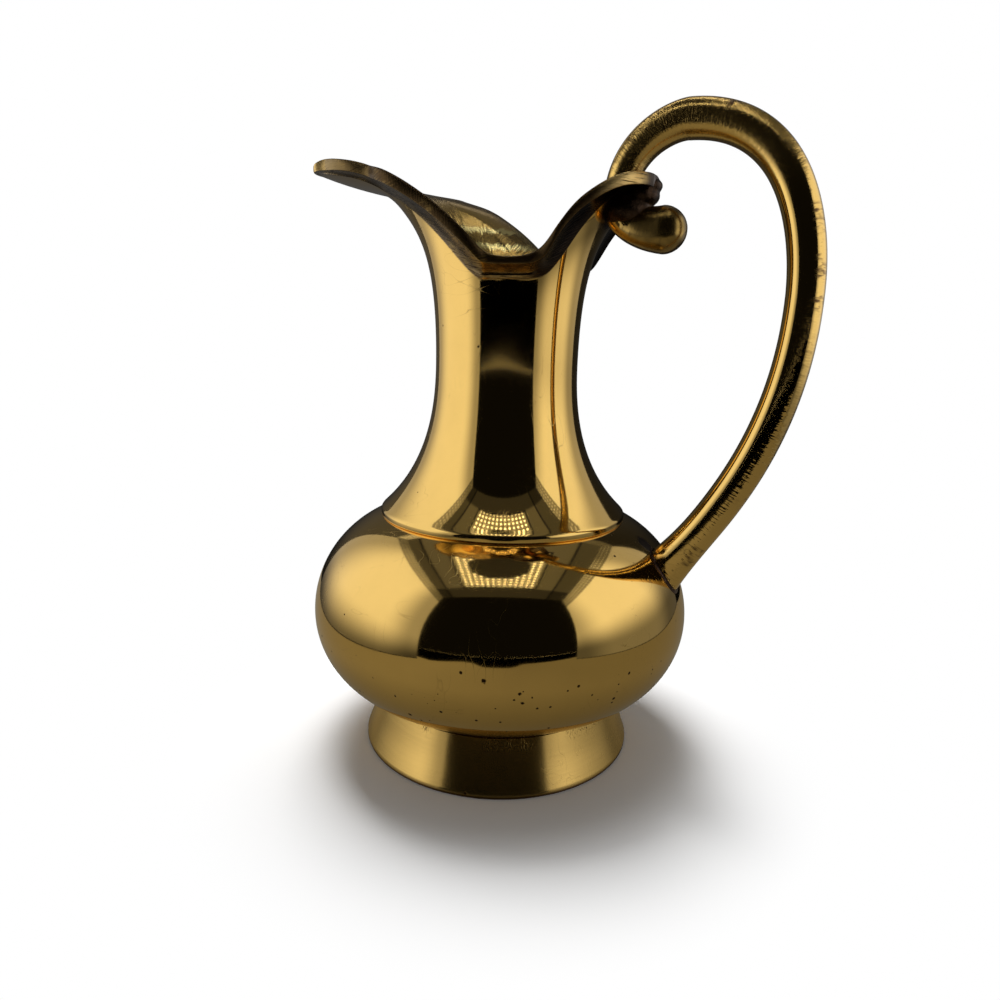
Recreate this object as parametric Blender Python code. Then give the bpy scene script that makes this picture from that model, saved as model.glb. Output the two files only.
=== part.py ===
"""Brass pitcher with a turned foot and bowl, a flared neck cut to a spout, and a scrolled handle.

Lengths are metres and angles are degrees. Heights are measured from the surface that the pitcher
stands on and radii from the axis that its foot, bowl and neck share. The spout points along -X and
the handle along +X. The finished pieces are moved along X so that the origin lies midway between
the spout's tip and the back of the handle.
"""

import math

import bmesh
import bpy
from mathutils import Vector

# Joints between the pieces
GAP = 0.0003
BRAZE_THICKNESS = 0.0009

# Foot
FOOT_RADIUS = 0.0340
FOOT_TOP_RADIUS = 0.0302
FOOT_HEIGHT = 0.0130
FOOT_WALL = 0.0024
FOOT_EDGE = 0.0010
FOOT_HOLLOW = 0.0003

# Bowl
BELLY_RADIUS = 0.0465
BELLY_RISE = 0.0206
BELLY_ROUNDING = 0.0199
SHOULDER_RISE = 0.0255
SHOULDER_ROUNDING = 0.0265
BOWL_WALL = 0.0022
BOWL_MOUTH_RADIUS = 0.0235

# Neck, from the skirt that laps over the shoulder up to the waist
SKIRT_RADIUS = 0.0301
SKIRT_EDGE = 0.0013
SKIRT_SLOPE = 42.0
SKIRT_PULL = 0.0165
NECK_RADIUS = 0.0170
WAIST_RISE = 0.0355
WAIST_PULL_DOWN = 0.0090
NECK_WALL = 0.0024
BRAZE_SEAT_INSET = 0.0049
BRAZE_SEAT_WIDTH = 0.0032

# Mouth flare, above the waist
WAIST_PULL_UP = 0.0212
KNEE_OUT = 0.0083
KNEE_RISE = 0.0339
KNEE_SLOPE = 49.6
KNEE_PULL_DOWN = 0.0079
KNEE_PULL_UP = 0.0090
FLARE_OUT = 0.0276
FLARE_RISE = 0.0108
FLARE_SLOPE = 24.0
FLARE_PULL = 0.0165

# Lip that stands out round the cut edge of the mouth
LIP_SAG = 0.0005
LIP_ROUNDING = 0.0026
LOBE_TURN = 30.0

# The cut edge drawn on the flare: turn from the spout, way up the flare from the waist,
# how far the lip stands out there, and height of the edge
SPOUT_CUT = (
    (0.0, 0.0624, 0.0019, 0.0018),
    (20.0, 0.0562, 0.0018, 0.0020),
    (28.7, 0.0510, 0.0041, 0.0025),
    (32.3, 0.0470, 0.0068, 0.0024),
    (33.1, 0.0402, 0.0091, 0.0025),
    (46.5, 0.0351, 0.0096, 0.0027),
    (57.8, 0.0302, 0.0081, 0.0028),
    (76.9, 0.0224, 0.0075, 0.0030),
    (90.9, 0.0183, 0.0060, 0.0027),
)
BACK_CUT = (
    (101.3, 0.0181, 0.0047, 0.0018),
    (114.0, 0.0182, 0.0045, 0.0015),
    (127.2, 0.0185, 0.0049, 0.0021),
    (138.7, 0.0200, 0.0067, 0.0028),
    (149.6, 0.0251, 0.0082, 0.0025),
    (158.1, 0.0324, 0.0077, 0.0025),
    (164.7, 0.0384, 0.0058, 0.0026),
    (172.7, 0.0410, 0.0042, 0.0027),
    (180.0, 0.0416, 0.0036, 0.0029),
)

# Handle: a bar swept from its ball end, round the hook and over the arch, down to the shoulder
BAR_HALF_WIDTH = 0.0042
BAR_SQUARENESS = 2.4
BALL_RADIUS = 0.0050
BALL_HALF_WIDTH = 0.0048
HOOK_HALF_DEPTH = 0.0032
ARCH_HALF_DEPTH = 0.0040
BACK_HALF_DEPTH = 0.0038
LOWER_HALF_DEPTH = 0.0042
ROOT_HALF_DEPTH = 0.0063
BALL_OUT = 0.0101
BALL_DROP = 0.0045
BALL_PULL = 0.0045
HOOK_RISE = 0.0011
HOOK_PULL_DOWN = 0.0035
HOOK_PULL_UP = 0.0120
ARCH_OUT = 0.0141
ARCH_RISE = 0.0172
ARCH_PULL_IN = 0.0038
ARCH_PULL_OUT = 0.0233
BACK_CLEARANCE = 0.0187
BACK_DROP = 0.0350
BACK_PULL_UP = 0.0096
BACK_PULL_DOWN = 0.0339
ROOT_IN = 0.0068
ROOT_DROP = 0.0141
ROOT_SLOPE = 54.7
ROOT_PULL = 0.0160

# Solder round the bar
SLOT_CLEARANCE = 0.00045
SLOT_DROP = 0.0031
COLLAR_OUT = 0.0018
COLLAR_DROP = 0.0004
COLLAR_SIZE = (0.0056, 0.0062, 0.0040)
STEM_OUT = 0.0074
STEM_LOW = 0.0006
STEM_HIGH = 0.0058
STEM_ROUNDING = 0.0009
ROOT_SOLDER_LEG = 0.0013

# Mesh fineness
TURN_STEPS = 64
CUT_STEPS = 2
BAR_SIDES = 16

# Heights and radii that follow from the sizes above
FOOT_JOINT = FOOT_HEIGHT + GAP + BRAZE_THICKNESS + GAP
BELLY_HEIGHT = FOOT_JOINT + BELLY_RISE
BELLY_CENTRE = BELLY_RADIUS - BELLY_ROUNDING
SHOULDER_CENTRE = BELLY_RADIUS - SHOULDER_ROUNDING


def shoulder_height(radius):
    """Height of the bowl's outer surface above its widest point."""
    out = (radius - SHOULDER_CENTRE) / SHOULDER_ROUNDING
    return BELLY_HEIGHT + SHOULDER_RISE * math.sqrt(max(0.0, 1.0 - out * out))


def bowl_radius(height):
    """Outer radius of the bowl at a height."""
    if height >= BELLY_HEIGHT:
        rise = (height - BELLY_HEIGHT) / SHOULDER_RISE
        return SHOULDER_CENTRE + SHOULDER_ROUNDING * math.sqrt(max(0.0, 1.0 - rise * rise))
    drop = (BELLY_HEIGHT - height) / BELLY_RISE
    return BELLY_CENTRE + BELLY_ROUNDING * math.sqrt(max(0.0, 1.0 - drop * drop))


SKIRT_SEAT = shoulder_height(SKIRT_RADIUS) + GAP
BRAZE_SEAT_INNER = SKIRT_RADIUS - BRAZE_SEAT_INSET
SKIRT_HEIGHT = SKIRT_SEAT + SKIRT_EDGE
WAIST_HEIGHT = SKIRT_HEIGHT + WAIST_RISE
KNEE_RADIUS = NECK_RADIUS + KNEE_OUT
KNEE_HEIGHT = WAIST_HEIGHT + KNEE_RISE


def heading(angle):
    """Unit direction in a radius and height plane, at an angle above level."""
    return Vector((math.cos(math.radians(angle)), math.sin(math.radians(angle))))


def bezier(start, pull_start, pull_end, end, steps):
    """Points along a cubic curve, from start up to but not including end."""
    points = []
    for index in range(steps):
        t = index / steps
        u = 1.0 - t
        point = start * u ** 3 + pull_start * 3 * u * u * t
        point = point + pull_end * 3 * u * t * t + end * t ** 3
        points.append(point)
    return points


def through(points, steps):
    """A smooth curve through points, each pair of neighbours split into steps."""
    vectors = [Vector(point) for point in points]
    first = vectors[0] * 2 - vectors[1]
    last = vectors[-1] * 2 - vectors[-2]
    padded = [first] + vectors + [last]
    curve = []
    for index in range(1, len(padded) - 2):
        a, b, c, d = padded[index - 1:index + 3]
        for step in range(steps):
            t = step / steps
            point = b * 2 + (c - a) * t
            point = point + (a * 2 - b * 5 + c * 4 - d) * t ** 2
            point = point + (b * 3 - a - c * 3 + d) * t ** 3
            curve.append(point * 0.5)
    curve.append(vectors[-1])
    return curve


def arc(centre, width, height, start, end, steps):
    """Points along an elliptical arc between two angles, both ends included."""
    points = []
    for index in range(steps + 1):
        angle = math.radians(start + (end - start) * index / steps)
        points.append(centre + Vector((width * math.cos(angle), height * math.sin(angle))))
    return points


def offset(profile, distance):
    """A profile moved sideways, to the right of its direction of travel."""
    moved = []
    for index, point in enumerate(profile):
        ahead = profile[min(index + 1, len(profile) - 1)]
        behind = profile[max(index - 1, 0)]
        along = (ahead - behind).normalized()
        moved.append(point + Vector((along.y, -along.x)) * distance)
    return moved


def material(name, colour, roughness):
    """A metal with a plain colour."""
    metal = bpy.data.materials.new(name)
    metal.use_nodes = True
    shader = metal.node_tree.nodes["Principled BSDF"]
    shader.inputs["Base Color"].default_value = (*colour, 1.0)
    shader.inputs["Metallic"].default_value = 1.0
    shader.inputs["Roughness"].default_value = roughness
    return metal


def finish(name, mesh_builder, metal, smooth_angle=35.0):
    """Turn a closed bmesh into a named object with outward faces and one material."""
    bmesh.ops.recalc_face_normals(mesh_builder, faces=mesh_builder.faces)
    mesh = bpy.data.meshes.new(name)
    mesh_builder.to_mesh(mesh)
    mesh_builder.free()
    mesh.shade_smooth()
    mesh.set_sharp_from_angle(angle=math.radians(smooth_angle))
    mesh.materials.append(metal)
    piece = bpy.data.objects.new(name, mesh)
    bpy.context.scene.collection.objects.link(piece)
    return piece


def turned(name, profile, metal):
    """A piece turned from a closed profile, or from one that ends on the axis."""
    builder = bmesh.new()
    points = [builder.verts.new((point.x, 0.0, point.y)) for point in profile]
    pairs = list(zip(points, points[1:]))
    if profile[0].x > 0.0:
        pairs.append((points[-1], points[0]))
    edges = [builder.edges.new(pair) for pair in pairs]
    bmesh.ops.spin(
        builder,
        geom=points + edges,
        cent=(0.0, 0.0, 0.0),
        axis=(0.0, 0.0, 1.0),
        angle=math.tau,
        steps=TURN_STEPS,
        use_merge=True,
    )
    bmesh.ops.remove_doubles(builder, verts=builder.verts, dist=1e-6)
    return finish(name, builder, metal)


def skinned(name, rings, metal, loops_back):
    """A piece skinned over rings of equal count, closed into a loop or capped at both ends."""
    builder = bmesh.new()
    rows = [[builder.verts.new(point) for point in ring] for ring in rings]
    count = len(rows[0])
    pairs = list(zip(rows, rows[1:]))
    if loops_back:
        pairs.append((rows[-1], rows[0]))
    else:
        builder.faces.new(rows[0])
        builder.faces.new(rows[-1])
    for row, following in pairs:
        for index in range(count):
            beside = (index + 1) % count
            builder.faces.new((row[index], row[beside], following[beside], following[index]))
    return finish(name, builder, metal)


def boolean(piece, operation, cutter):
    """Cut a piece by a hidden cutter, or keep only what lies inside it."""
    cutter.hide_render = True
    cutter.display_type = "WIRE"
    modifier = piece.modifiers.new(operation.title() + " " + cutter.name, "BOOLEAN")
    modifier.operation = operation
    modifier.solver = "EXACT"
    modifier.object = cutter


def foot_ring(metal):
    """The foot: a low hollow ring, drawn in slightly between its edge and its top."""
    top = Vector((FOOT_TOP_RADIUS, FOOT_HEIGHT))
    edge = Vector((FOOT_RADIUS, FOOT_EDGE))
    middle = (top + edge) / 2 - Vector((FOOT_HOLLOW, 0.0))
    outside = bezier(top, middle, middle, edge, 4) + [edge]
    inside = [point - Vector((FOOT_WALL, 0.0)) for point in outside]
    profile = outside + [Vector((FOOT_RADIUS, 0.0)), Vector((FOOT_RADIUS - FOOT_WALL, 0.0))]
    return turned("foot_ring", profile + inside[::-1], metal)


def foot_braze(metal):
    """The bead of braze in the crease between foot and bowl."""
    outer = FOOT_TOP_RADIUS + GAP
    inner = FOOT_TOP_RADIUS - FOOT_WALL + GAP
    bottom = FOOT_HEIGHT + GAP
    profile = []
    for index in range(4):
        radius = outer + (inner - outer) * index / 3
        profile.append(Vector((radius, underside_height(radius) - GAP)))
    profile.append(Vector((inner, bottom)))
    profile.append(Vector((outer - GAP, bottom)))
    waist = (profile[0] + profile[-1]) / 2 - Vector((GAP, 0.0))
    return turned("foot_braze", profile + [waist], metal)


def underside_height(radius):
    """Height of the bowl's outer surface below its widest point."""
    out = max(0.0, (radius - BELLY_CENTRE) / BELLY_ROUNDING)
    return BELLY_HEIGHT - BELLY_RISE * math.sqrt(max(0.0, 1.0 - out * out))


def bowl_outline(grown, low_steps, high_steps):
    """Outer profile of the bowl, from the middle of its floor up to its mouth, grown outwards."""
    mouth_turn = math.degrees(math.acos((BOWL_MOUTH_RADIUS - SHOULDER_CENTRE) / SHOULDER_ROUNDING))
    low = Vector((BELLY_CENTRE, BELLY_HEIGHT))
    high = Vector((SHOULDER_CENTRE, BELLY_HEIGHT))
    lower = arc(low, BELLY_ROUNDING + grown, BELLY_RISE + grown, -90.0, 0.0, low_steps)
    upper = arc(high, SHOULDER_ROUNDING + grown, SHOULDER_RISE + grown, 0.0, mouth_turn, high_steps)
    return [Vector((0.0, lower[0].y))] + lower + upper[1:]


def bowl_envelope(name, grown, metal):
    """A solid of the bowl's outer form, grown outwards, to fit neighbours against."""
    outline = bowl_outline(grown, 9, 10)
    closing = Vector((0.0, outline[-1].y))
    return turned(name, outline + [closing], metal)


def body_bowl(metal):
    """The bowl: a squat shell with a flat floor, closed by a shoulder that is open at the top."""
    outside = bowl_outline(0.0, 9, 10)
    inside = bowl_outline(-BOWL_WALL, 5, 6)
    return turned("body_bowl", outside + inside[::-1], metal)


def neck_braze(metal):
    """The washer of braze between the neck's skirt and the shoulder."""
    inner = BRAZE_SEAT_INNER + GAP
    outer = BRAZE_SEAT_INNER + BRAZE_SEAT_WIDTH - GAP
    profile = []
    for radius in (outer, (inner + outer) / 2, inner):
        profile.append(Vector((radius, shoulder_height(radius) + GAP + BRAZE_THICKNESS)))
    for radius in (inner, (inner + outer) / 2, outer):
        profile.append(Vector((radius, shoulder_height(radius) + GAP)))
    return turned("neck_braze", profile, metal)


def flare_outline():
    """Outer profile of the flare, from the waist to beyond the spout's tip, closely spaced."""
    waist = Vector((NECK_RADIUS, WAIST_HEIGHT))
    knee = Vector((KNEE_RADIUS, KNEE_HEIGHT))
    tip = Vector((KNEE_RADIUS + FLARE_OUT, KNEE_HEIGHT + FLARE_RISE))
    up = Vector((0.0, 1.0))
    knee_way = heading(KNEE_SLOPE)
    tip_way = heading(FLARE_SLOPE)
    low_pull = waist + up * WAIST_PULL_UP
    knee_in = knee - knee_way * KNEE_PULL_DOWN
    knee_out = knee + knee_way * KNEE_PULL_UP
    points = bezier(waist, low_pull, knee_in, knee, 60)
    points += bezier(knee, knee_out, tip - tip_way * FLARE_PULL, tip, 60)
    return points + [tip]


class Flare:
    """The flare's outer surface, addressed by turn from the spout and way up from the waist."""

    def __init__(self):
        self.points = flare_outline()
        self.ways = [0.0]
        for point, ahead in zip(self.points, self.points[1:]):
            self.ways.append(self.ways[-1] + (ahead - point).length)

    def profile(self, way):
        """Radius and height, and the direction of travel, at a way up the flare."""
        way = min(max(way, 0.0), self.ways[-1] * 0.9999)
        index = max(i for i, reached in enumerate(self.ways) if reached <= way)
        span = self.ways[index + 1] - self.ways[index]
        share = (way - self.ways[index]) / span
        along = self.points[index + 1] - self.points[index]
        return self.points[index] + along * share, along.normalized()

    def place(self, turn, way, depth=0.0):
        """A point on the flare, or at a depth under its outer surface."""
        point, along = self.profile(way)
        point = point + Vector((-along.y, along.x)) * depth
        angle = math.radians(turn)
        return Vector((-point.x * math.cos(angle), -point.x * math.sin(angle), point.y))

    def frame(self, turn, way):
        """Outward normal, and direction up the flare, at a point on it."""
        along = self.profile(way)[1]
        angle = math.radians(turn)
        out = Vector((-math.cos(angle), -math.sin(angle), 0.0))
        up = Vector((0.0, 0.0, 1.0))
        return out * along.y - up * along.x, out * along.x + up * along.y


def cut_edge():
    """The cut edge all the way round: turns, ways up the flare, widths of lip and heights."""
    near = [tuple(point) for point in through(SPOUT_CUT + BACK_CUT, CUT_STEPS)]
    far = [(360.0 - turn, *sizes) for turn, *sizes in near[-2:0:-1]]
    return near + far


def lobe_share(turn):
    """How far a turn from the spout is into the back lobe, from 0 outside it to 1 at its tip."""
    return max(0.0, 1.0 - abs(turn - 180.0) / LOBE_TURN)


def lip_directions(flare, edge):
    """Directions of the lip, halfway between along the flare and level, and level at the lobe."""
    count = len(edge)
    creases = [flare.place(turn, way) for turn, way, *sizes in edge]
    directions = []
    for index, (turn, way, *sizes) in enumerate(edge):
        along = (creases[(index + 1) % count] - creases[index - 1]).normalized()
        normal = flare.frame(turn, way)[0]
        over = normal.cross(along)
        level = Vector((over.x, over.y, 0.0))
        plan = Vector((along.y, -along.x, 0.0)).normalized()
        if plan.dot(creases[index]) < 0.0 and plan.dot(level) <= 0.0:
            plan = -plan
        if over.dot(plan) + over.z < 0.0:
            over = -over
        direction = (over + plan).normalized()
        direction.z *= 1.0 - lobe_share(turn)
        directions.append(direction.normalized())
    for _ in range(3):
        blended = []
        for index in range(count):
            pair = directions[index - 1] + directions[(index + 1) % count]
            blended.append((directions[index] * 2 + pair).normalized())
        directions = blended
    return directions


def neck_form(name, metal):
    """The neck before its slot: a lapping skirt, a narrow waist and a flared mouth cut to shape."""
    flare = Flare()
    edge = cut_edge()
    count = len(edge)
    turns = [360.0 * index / count for index in range(count)]

    def level(radius, height):
        ring = []
        for turn in turns:
            angle = math.radians(turn)
            ring.append(Vector((-radius * math.cos(angle), -radius * math.sin(angle), height)))
        return ring

    skirt = Vector((SKIRT_RADIUS, SKIRT_HEIGHT))
    waist = Vector((NECK_RADIUS, WAIST_HEIGHT))
    skirt_pull = skirt + heading(180.0 - SKIRT_SLOPE) * SKIRT_PULL
    waist_pull = waist - Vector((0.0, WAIST_PULL_DOWN))
    lower = bezier(skirt, skirt_pull, waist_pull, waist, 8) + [waist]
    bore_limit = BRAZE_SEAT_INNER - NECK_WALL / 2
    bore = [point for point in offset(lower, -NECK_WALL) if point.x < bore_limit]
    rings = [level(point.x, point.y) for point in lower[:-1]]

    def leaning(share, depth):
        ring = []
        for turn, (cut_turn, cut_way, *sizes) in zip(turns, edge):
            lean = turn + (cut_turn - turn) * share ** 1.5
            ring.append(flare.place(lean, cut_way * share, depth))
        return ring

    shares = [0.0, 0.25, 0.46, 0.63, 0.77, 0.89, 1.0]
    rings += [leaning(share, 0.0) for share in shares]
    creases = rings[-1]
    inner_creases = leaning(1.0, NECK_WALL)
    directions = lip_directions(flare, edge)
    fillet = []
    lower_edge = []
    upper_edge = []
    for crease, out, (turn, way, width, height) in zip(creases, directions, edge):
        rim = crease + out * width
        fillet.append((crease + rim) / 2 - flare.frame(turn, way)[0] * LIP_SAG)
        lower_edge.append(rim)
        upper_edge.append(rim + Vector((0.0, 0.0, height)))
    rings += [fillet, lower_edge, upper_edge]
    rollovers = []
    for crease, rim, out, (turn, way, *sizes) in zip(inner_creases, upper_edge, directions, edge):
        level_in = Vector((out.x, out.y, 0.0)).normalized() * -LIP_ROUNDING
        upward = flare.frame(turn, way)[1] * LIP_ROUNDING
        rollovers.append(bezier(rim, rim + level_in, crease + upward, crease, 4)[1:])
    for step in range(3):
        rings.append([rollover[step] for rollover in rollovers])
    rings += [leaning(share, NECK_WALL) for share in shares[:0:-1]]
    rings += [level(point.x, point.y) for point in bore[::-1]]

    groove_top = GAP + BRAZE_THICKNESS + GAP
    seat_outer = BRAZE_SEAT_INNER + BRAZE_SEAT_WIDTH
    foot_radius = BOWL_MOUTH_RADIUS + GAP
    for radius, lift in (
        (foot_radius, GAP),
        (BRAZE_SEAT_INNER, GAP),
        (BRAZE_SEAT_INNER, groove_top),
        ((BRAZE_SEAT_INNER + seat_outer) / 2, groove_top),
        (seat_outer, groove_top),
        (seat_outer, GAP),
        (SKIRT_RADIUS, GAP),
    ):
        rings.append(level(radius, shoulder_height(radius) + lift))
    return skinned(name, rings, metal, True)


def neck(metal):
    """The neck, with the open slot in its back lobe that the bar stands in."""
    piece = neck_form("neck", metal)
    slot = lobe_prism("slot_in_lobe", SLOT_CLEARANCE, KNEE_HEIGHT - SLOT_DROP, metal)
    boolean(piece, "DIFFERENCE", slot)
    return piece


HOOK = Vector((KNEE_RADIUS, KNEE_HEIGHT + HOOK_RISE))
ARCH = Vector((KNEE_RADIUS + ARCH_OUT, KNEE_HEIGHT + ARCH_RISE))
SECTION_STEPS = (8, 10, 14, 14)
ROOT_FLARE_STEPS = 5


def handle_path():
    """Centre line of the bar in the XZ plane, from the middle of the ball to inside the shoulder."""
    up = Vector((0.0, 1.0))
    out = Vector((1.0, 0.0))
    ball = Vector((KNEE_RADIUS + BALL_OUT, KNEE_HEIGHT - BALL_DROP))
    back = Vector((BELLY_RADIUS + BACK_CLEARANCE, ARCH.y - BACK_DROP))
    root_height = SKIRT_SEAT - ROOT_DROP
    root = Vector((bowl_radius(root_height) - ROOT_IN, root_height))
    root_pull = root + heading(ROOT_SLOPE) * ROOT_PULL
    curves = (
        (ball, ball - out * BALL_PULL, HOOK - up * HOOK_PULL_DOWN, HOOK),
        (HOOK, HOOK + up * HOOK_PULL_UP, ARCH - out * ARCH_PULL_IN, ARCH),
        (ARCH, ARCH + out * ARCH_PULL_OUT, back + up * BACK_PULL_UP, back),
        (back, back - up * BACK_PULL_DOWN, root_pull, root),
    )
    points = []
    for curve, steps in zip(curves, SECTION_STEPS):
        points += bezier(*curve, steps)
    return points + [root]


def bar_half_depths():
    """Half the bar's depth in the plane of its path, at each point of the path."""
    sections = (
        (BALL_RADIUS, HOOK_HALF_DEPTH),
        (HOOK_HALF_DEPTH, ARCH_HALF_DEPTH),
        (ARCH_HALF_DEPTH, BACK_HALF_DEPTH),
        (BACK_HALF_DEPTH, LOWER_HALF_DEPTH),
    )
    depths = []
    for (first, second), steps in zip(sections, SECTION_STEPS):
        for index in range(steps):
            depths.append(first + (second - first) * index / steps)
    for index in range(ROOT_FLARE_STEPS):
        share = (index + 1) / ROOT_FLARE_STEPS
        depths[index - ROOT_FLARE_STEPS] += (ROOT_HALF_DEPTH - LOWER_HALF_DEPTH) * share ** 2
    return depths + [ROOT_HALF_DEPTH]


def squarish_oval(angle, half_depth, half_width):
    """A point on the outline of the bar's section: an oval with fuller corners."""
    c = math.cos(angle)
    s = math.sin(angle)
    depth = half_depth * math.copysign(abs(c) ** (2.0 / BAR_SQUARENESS), c)
    width = half_width * math.copysign(abs(s) ** (2.0 / BAR_SQUARENESS), s)
    return depth, width


def bar_ring(point, along, half_depth, half_width):
    """A section of the bar, square to its path."""
    across = Vector((-along.y, along.x))
    ring = []
    for index in range(BAR_SIDES):
        depth, width = squarish_oval(math.tau * index / BAR_SIDES, half_depth, half_width)
        centre = point + across * depth
        ring.append(Vector((centre.x, width, centre.y)))
    return ring


def path_directions(path):
    """Direction of travel at each point of a path."""
    directions = []
    for index in range(len(path)):
        ahead = path[min(index + 1, len(path) - 1)]
        behind = path[max(index - 1, 0)]
        directions.append((ahead - behind).normalized())
    return directions


def bar_rings(grown, start, end):
    """Sections of the bar between two points of its path, grown outwards."""
    path = handle_path()
    depths = bar_half_depths()
    directions = path_directions(path)
    rings = []
    for index in range(start, end):
        swell = max(0.0, 1.0 - 2.0 * index / SECTION_STEPS[0])
        width = BAR_HALF_WIDTH + (BALL_HALF_WIDTH - BAR_HALF_WIDTH) * swell
        depth = depths[index] + grown
        rings.append(bar_ring(path[index], directions[index], depth, width + grown))
    return rings


def handle(metal):
    """The handle: ball, hook, arch and back in one bar, its root cut to fit the shoulder."""
    path = handle_path()
    towards = path_directions(path)[0]
    rings = []
    for degrees in (12.0, 28.0, 44.0, 60.0, 76.0):
        angle = math.radians(degrees)
        centre = path[0] - towards * (BALL_RADIUS * math.cos(angle))
        swell = math.sin(angle)
        rings.append(bar_ring(centre, towards, BALL_RADIUS * swell, BALL_HALF_WIDTH * swell ** 0.8))
    rings += bar_rings(0.0, 0, len(path))
    piece = skinned("handle", rings, metal, False)
    boolean(piece, "DIFFERENCE", bowl_envelope("shoulder_seat", GAP, metal))
    return piece


def lobe_prism(name, grown, low, metal):
    """An upright prism from a low height, round the bar and out past the back lobe's tip."""
    half = BAR_HALF_WIDTH + grown
    depth = HOOK_HALF_DEPTH + grown
    outline = []
    for index in range(9):
        angle = math.radians(90.0 + 180.0 * index / 8)
        outline.append(squarish_oval(angle, depth, half))
    outline = [(HOOK.x + across, side) for across, side in outline]
    outline += [(HOOK.x + FLARE_OUT, -half), (HOOK.x + FLARE_OUT, half)]
    rings = []
    for height in (low, ARCH.y):
        rings.append([Vector((x, y, height)) for x, y in outline])
    return skinned(name, rings, metal, False)


def solder_plug(metal):
    """The solder that closes the open end of the slot and carries on the lobe's rounded tip."""
    piece = lobe_prism("solder_plug", SLOT_CLEARANCE - GAP, HOOK.y, metal)
    boolean(piece, "INTERSECT", neck_form("whole_neck", metal))
    return piece


def solder_stem(metal):
    """The solder under the lobe's tip, rounded off, between the collar and the plug."""
    height = (STEM_HIGH - STEM_LOW) / 2
    centre = Vector((KNEE_RADIUS + STEM_OUT - height, KNEE_HEIGHT + STEM_LOW + height))
    half_width = BAR_HALF_WIDTH
    rings = []
    for side, inset in ((-1, 1), (-0.8, 0), (0.8, 0), (1, 1)):
        reach = height - STEM_ROUNDING * inset
        ring = [Vector((HOOK.x, side * half_width, centre.y - reach))]
        for point in arc(centre, reach, reach, -90.0, 90.0, 8):
            ring.append(Vector((point.x, side * half_width, point.y)))
        ring.append(Vector((HOOK.x, side * half_width, centre.y + reach)))
        rings.append(ring)
    return skinned("solder_stem", rings, metal, False)


def handle_top_solder(metal):
    """The solder round the bar below the lobe, with the plug in the open end of its slot."""
    centre = Vector((KNEE_RADIUS + COLLAR_OUT, KNEE_HEIGHT - COLLAR_DROP))
    width, breadth, height = COLLAR_SIZE
    rings = []
    for degrees in (-80.0, -60.0, -40.0, -20.0, 0.0, 20.0, 40.0, 60.0, 80.0):
        ring = []
        swell = math.cos(math.radians(degrees))
        level = centre.y + height * math.sin(math.radians(degrees))
        for index in range(2 * BAR_SIDES):
            angle = math.tau * (index + 0.5) / (2 * BAR_SIDES)
            out = centre.x + width * swell * math.cos(angle)
            ring.append(Vector((out, breadth * swell * math.sin(angle), level)))
        rings.append(ring)
    piece = skinned("handle_top_solder", rings, metal, False)
    outline = offset(flare_outline()[::5], LIP_SAG + GAP)
    top = Vector((0.0, outline[-1].y))
    bottom = Vector((0.0, outline[0].y))
    boolean(piece, "DIFFERENCE", turned("flare_seat", [bottom] + outline + [top], metal))
    boolean(piece, "UNION", solder_stem(metal))
    boolean(piece, "UNION", solder_plug(metal))
    channel = bar_rings(GAP, 0, 2 * SECTION_STEPS[0] + 1)
    boolean(piece, "DIFFERENCE", skinned("solder_channel", channel, metal, False))
    return piece


def root_crossing(rings, side):
    """Where one side line of the bar meets the grown bowl, as a fractional ring number."""
    def outside(position):
        index = min(int(position), len(rings) - 2)
        share = position - index
        point = rings[index][side].lerp(rings[index + 1][side], share)
        return math.hypot(point.x, point.y) - (bowl_radius(point.z) + GAP * 1.2), point

    low = len(rings) // 2
    high = len(rings) - 1.0
    for _ in range(40):
        middle = (low + high) / 2
        if outside(middle)[0] > 0.0:
            low = middle
        else:
            high = middle
    return low, outside(low)[1]


def on_bowl(point, lift):
    """The nearest point outside the bowl in its radial direction, lifted off its surface."""
    flat = Vector((point.x, point.y, 0.0))
    radius = bowl_radius(point.z) + lift
    return flat.normalized() * radius + Vector((0.0, 0.0, point.z))


def handle_root_solder(metal):
    """The fillet of solder round the bar's root, on the shoulder."""
    path = handle_path()
    rings = bar_rings(GAP, 0, len(path))
    corner_ring = []
    leg_ring = []
    toe_ring = []
    centre = root_crossing(rings, 0)[1].lerp(root_crossing(rings, BAR_SIDES // 2)[1], 0.5)
    for side in range(BAR_SIDES):
        position, corner = root_crossing(rings, side)
        corner = on_bowl(corner, GAP * 1.3)
        index = int(position)
        step = (rings[index][side] - rings[index + 1][side]).normalized()
        leg = corner + step * ROOT_SOLDER_LEG
        away = corner - centre
        away = (away - step * away.dot(step)).normalized()
        normal = Vector((corner.x, corner.y, 0.0)).normalized()
        slope = (bowl_radius(corner.z + GAP) - bowl_radius(corner.z - GAP)) / (2 * GAP)
        normal = (normal - Vector((0.0, 0.0, slope))).normalized()
        away = (away - normal * away.dot(normal)).normalized()
        toe = corner + away * ROOT_SOLDER_LEG
        corner_ring.append(corner + away * GAP * 0.4)
        leg_ring.append(leg + away * GAP * 0.4)
        toe_ring.append(on_bowl(toe, GAP * 1.3))
    return skinned("handle_root_solder", [corner_ring, leg_ring, toe_ring], metal, True)


def centre_on_origin(pieces):
    """Move the pieces along X so that the origin lies midway along the pitcher."""
    shape = bpy.context.evaluated_depsgraph_get()
    ends = []
    for piece in pieces:
        evaluated = piece.evaluated_get(shape)
        ends += [vertex.co.x for vertex in evaluated.data.vertices]
    middle = (min(ends) + max(ends)) / 2
    for piece in bpy.data.objects:
        piece.location.x = -middle


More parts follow.
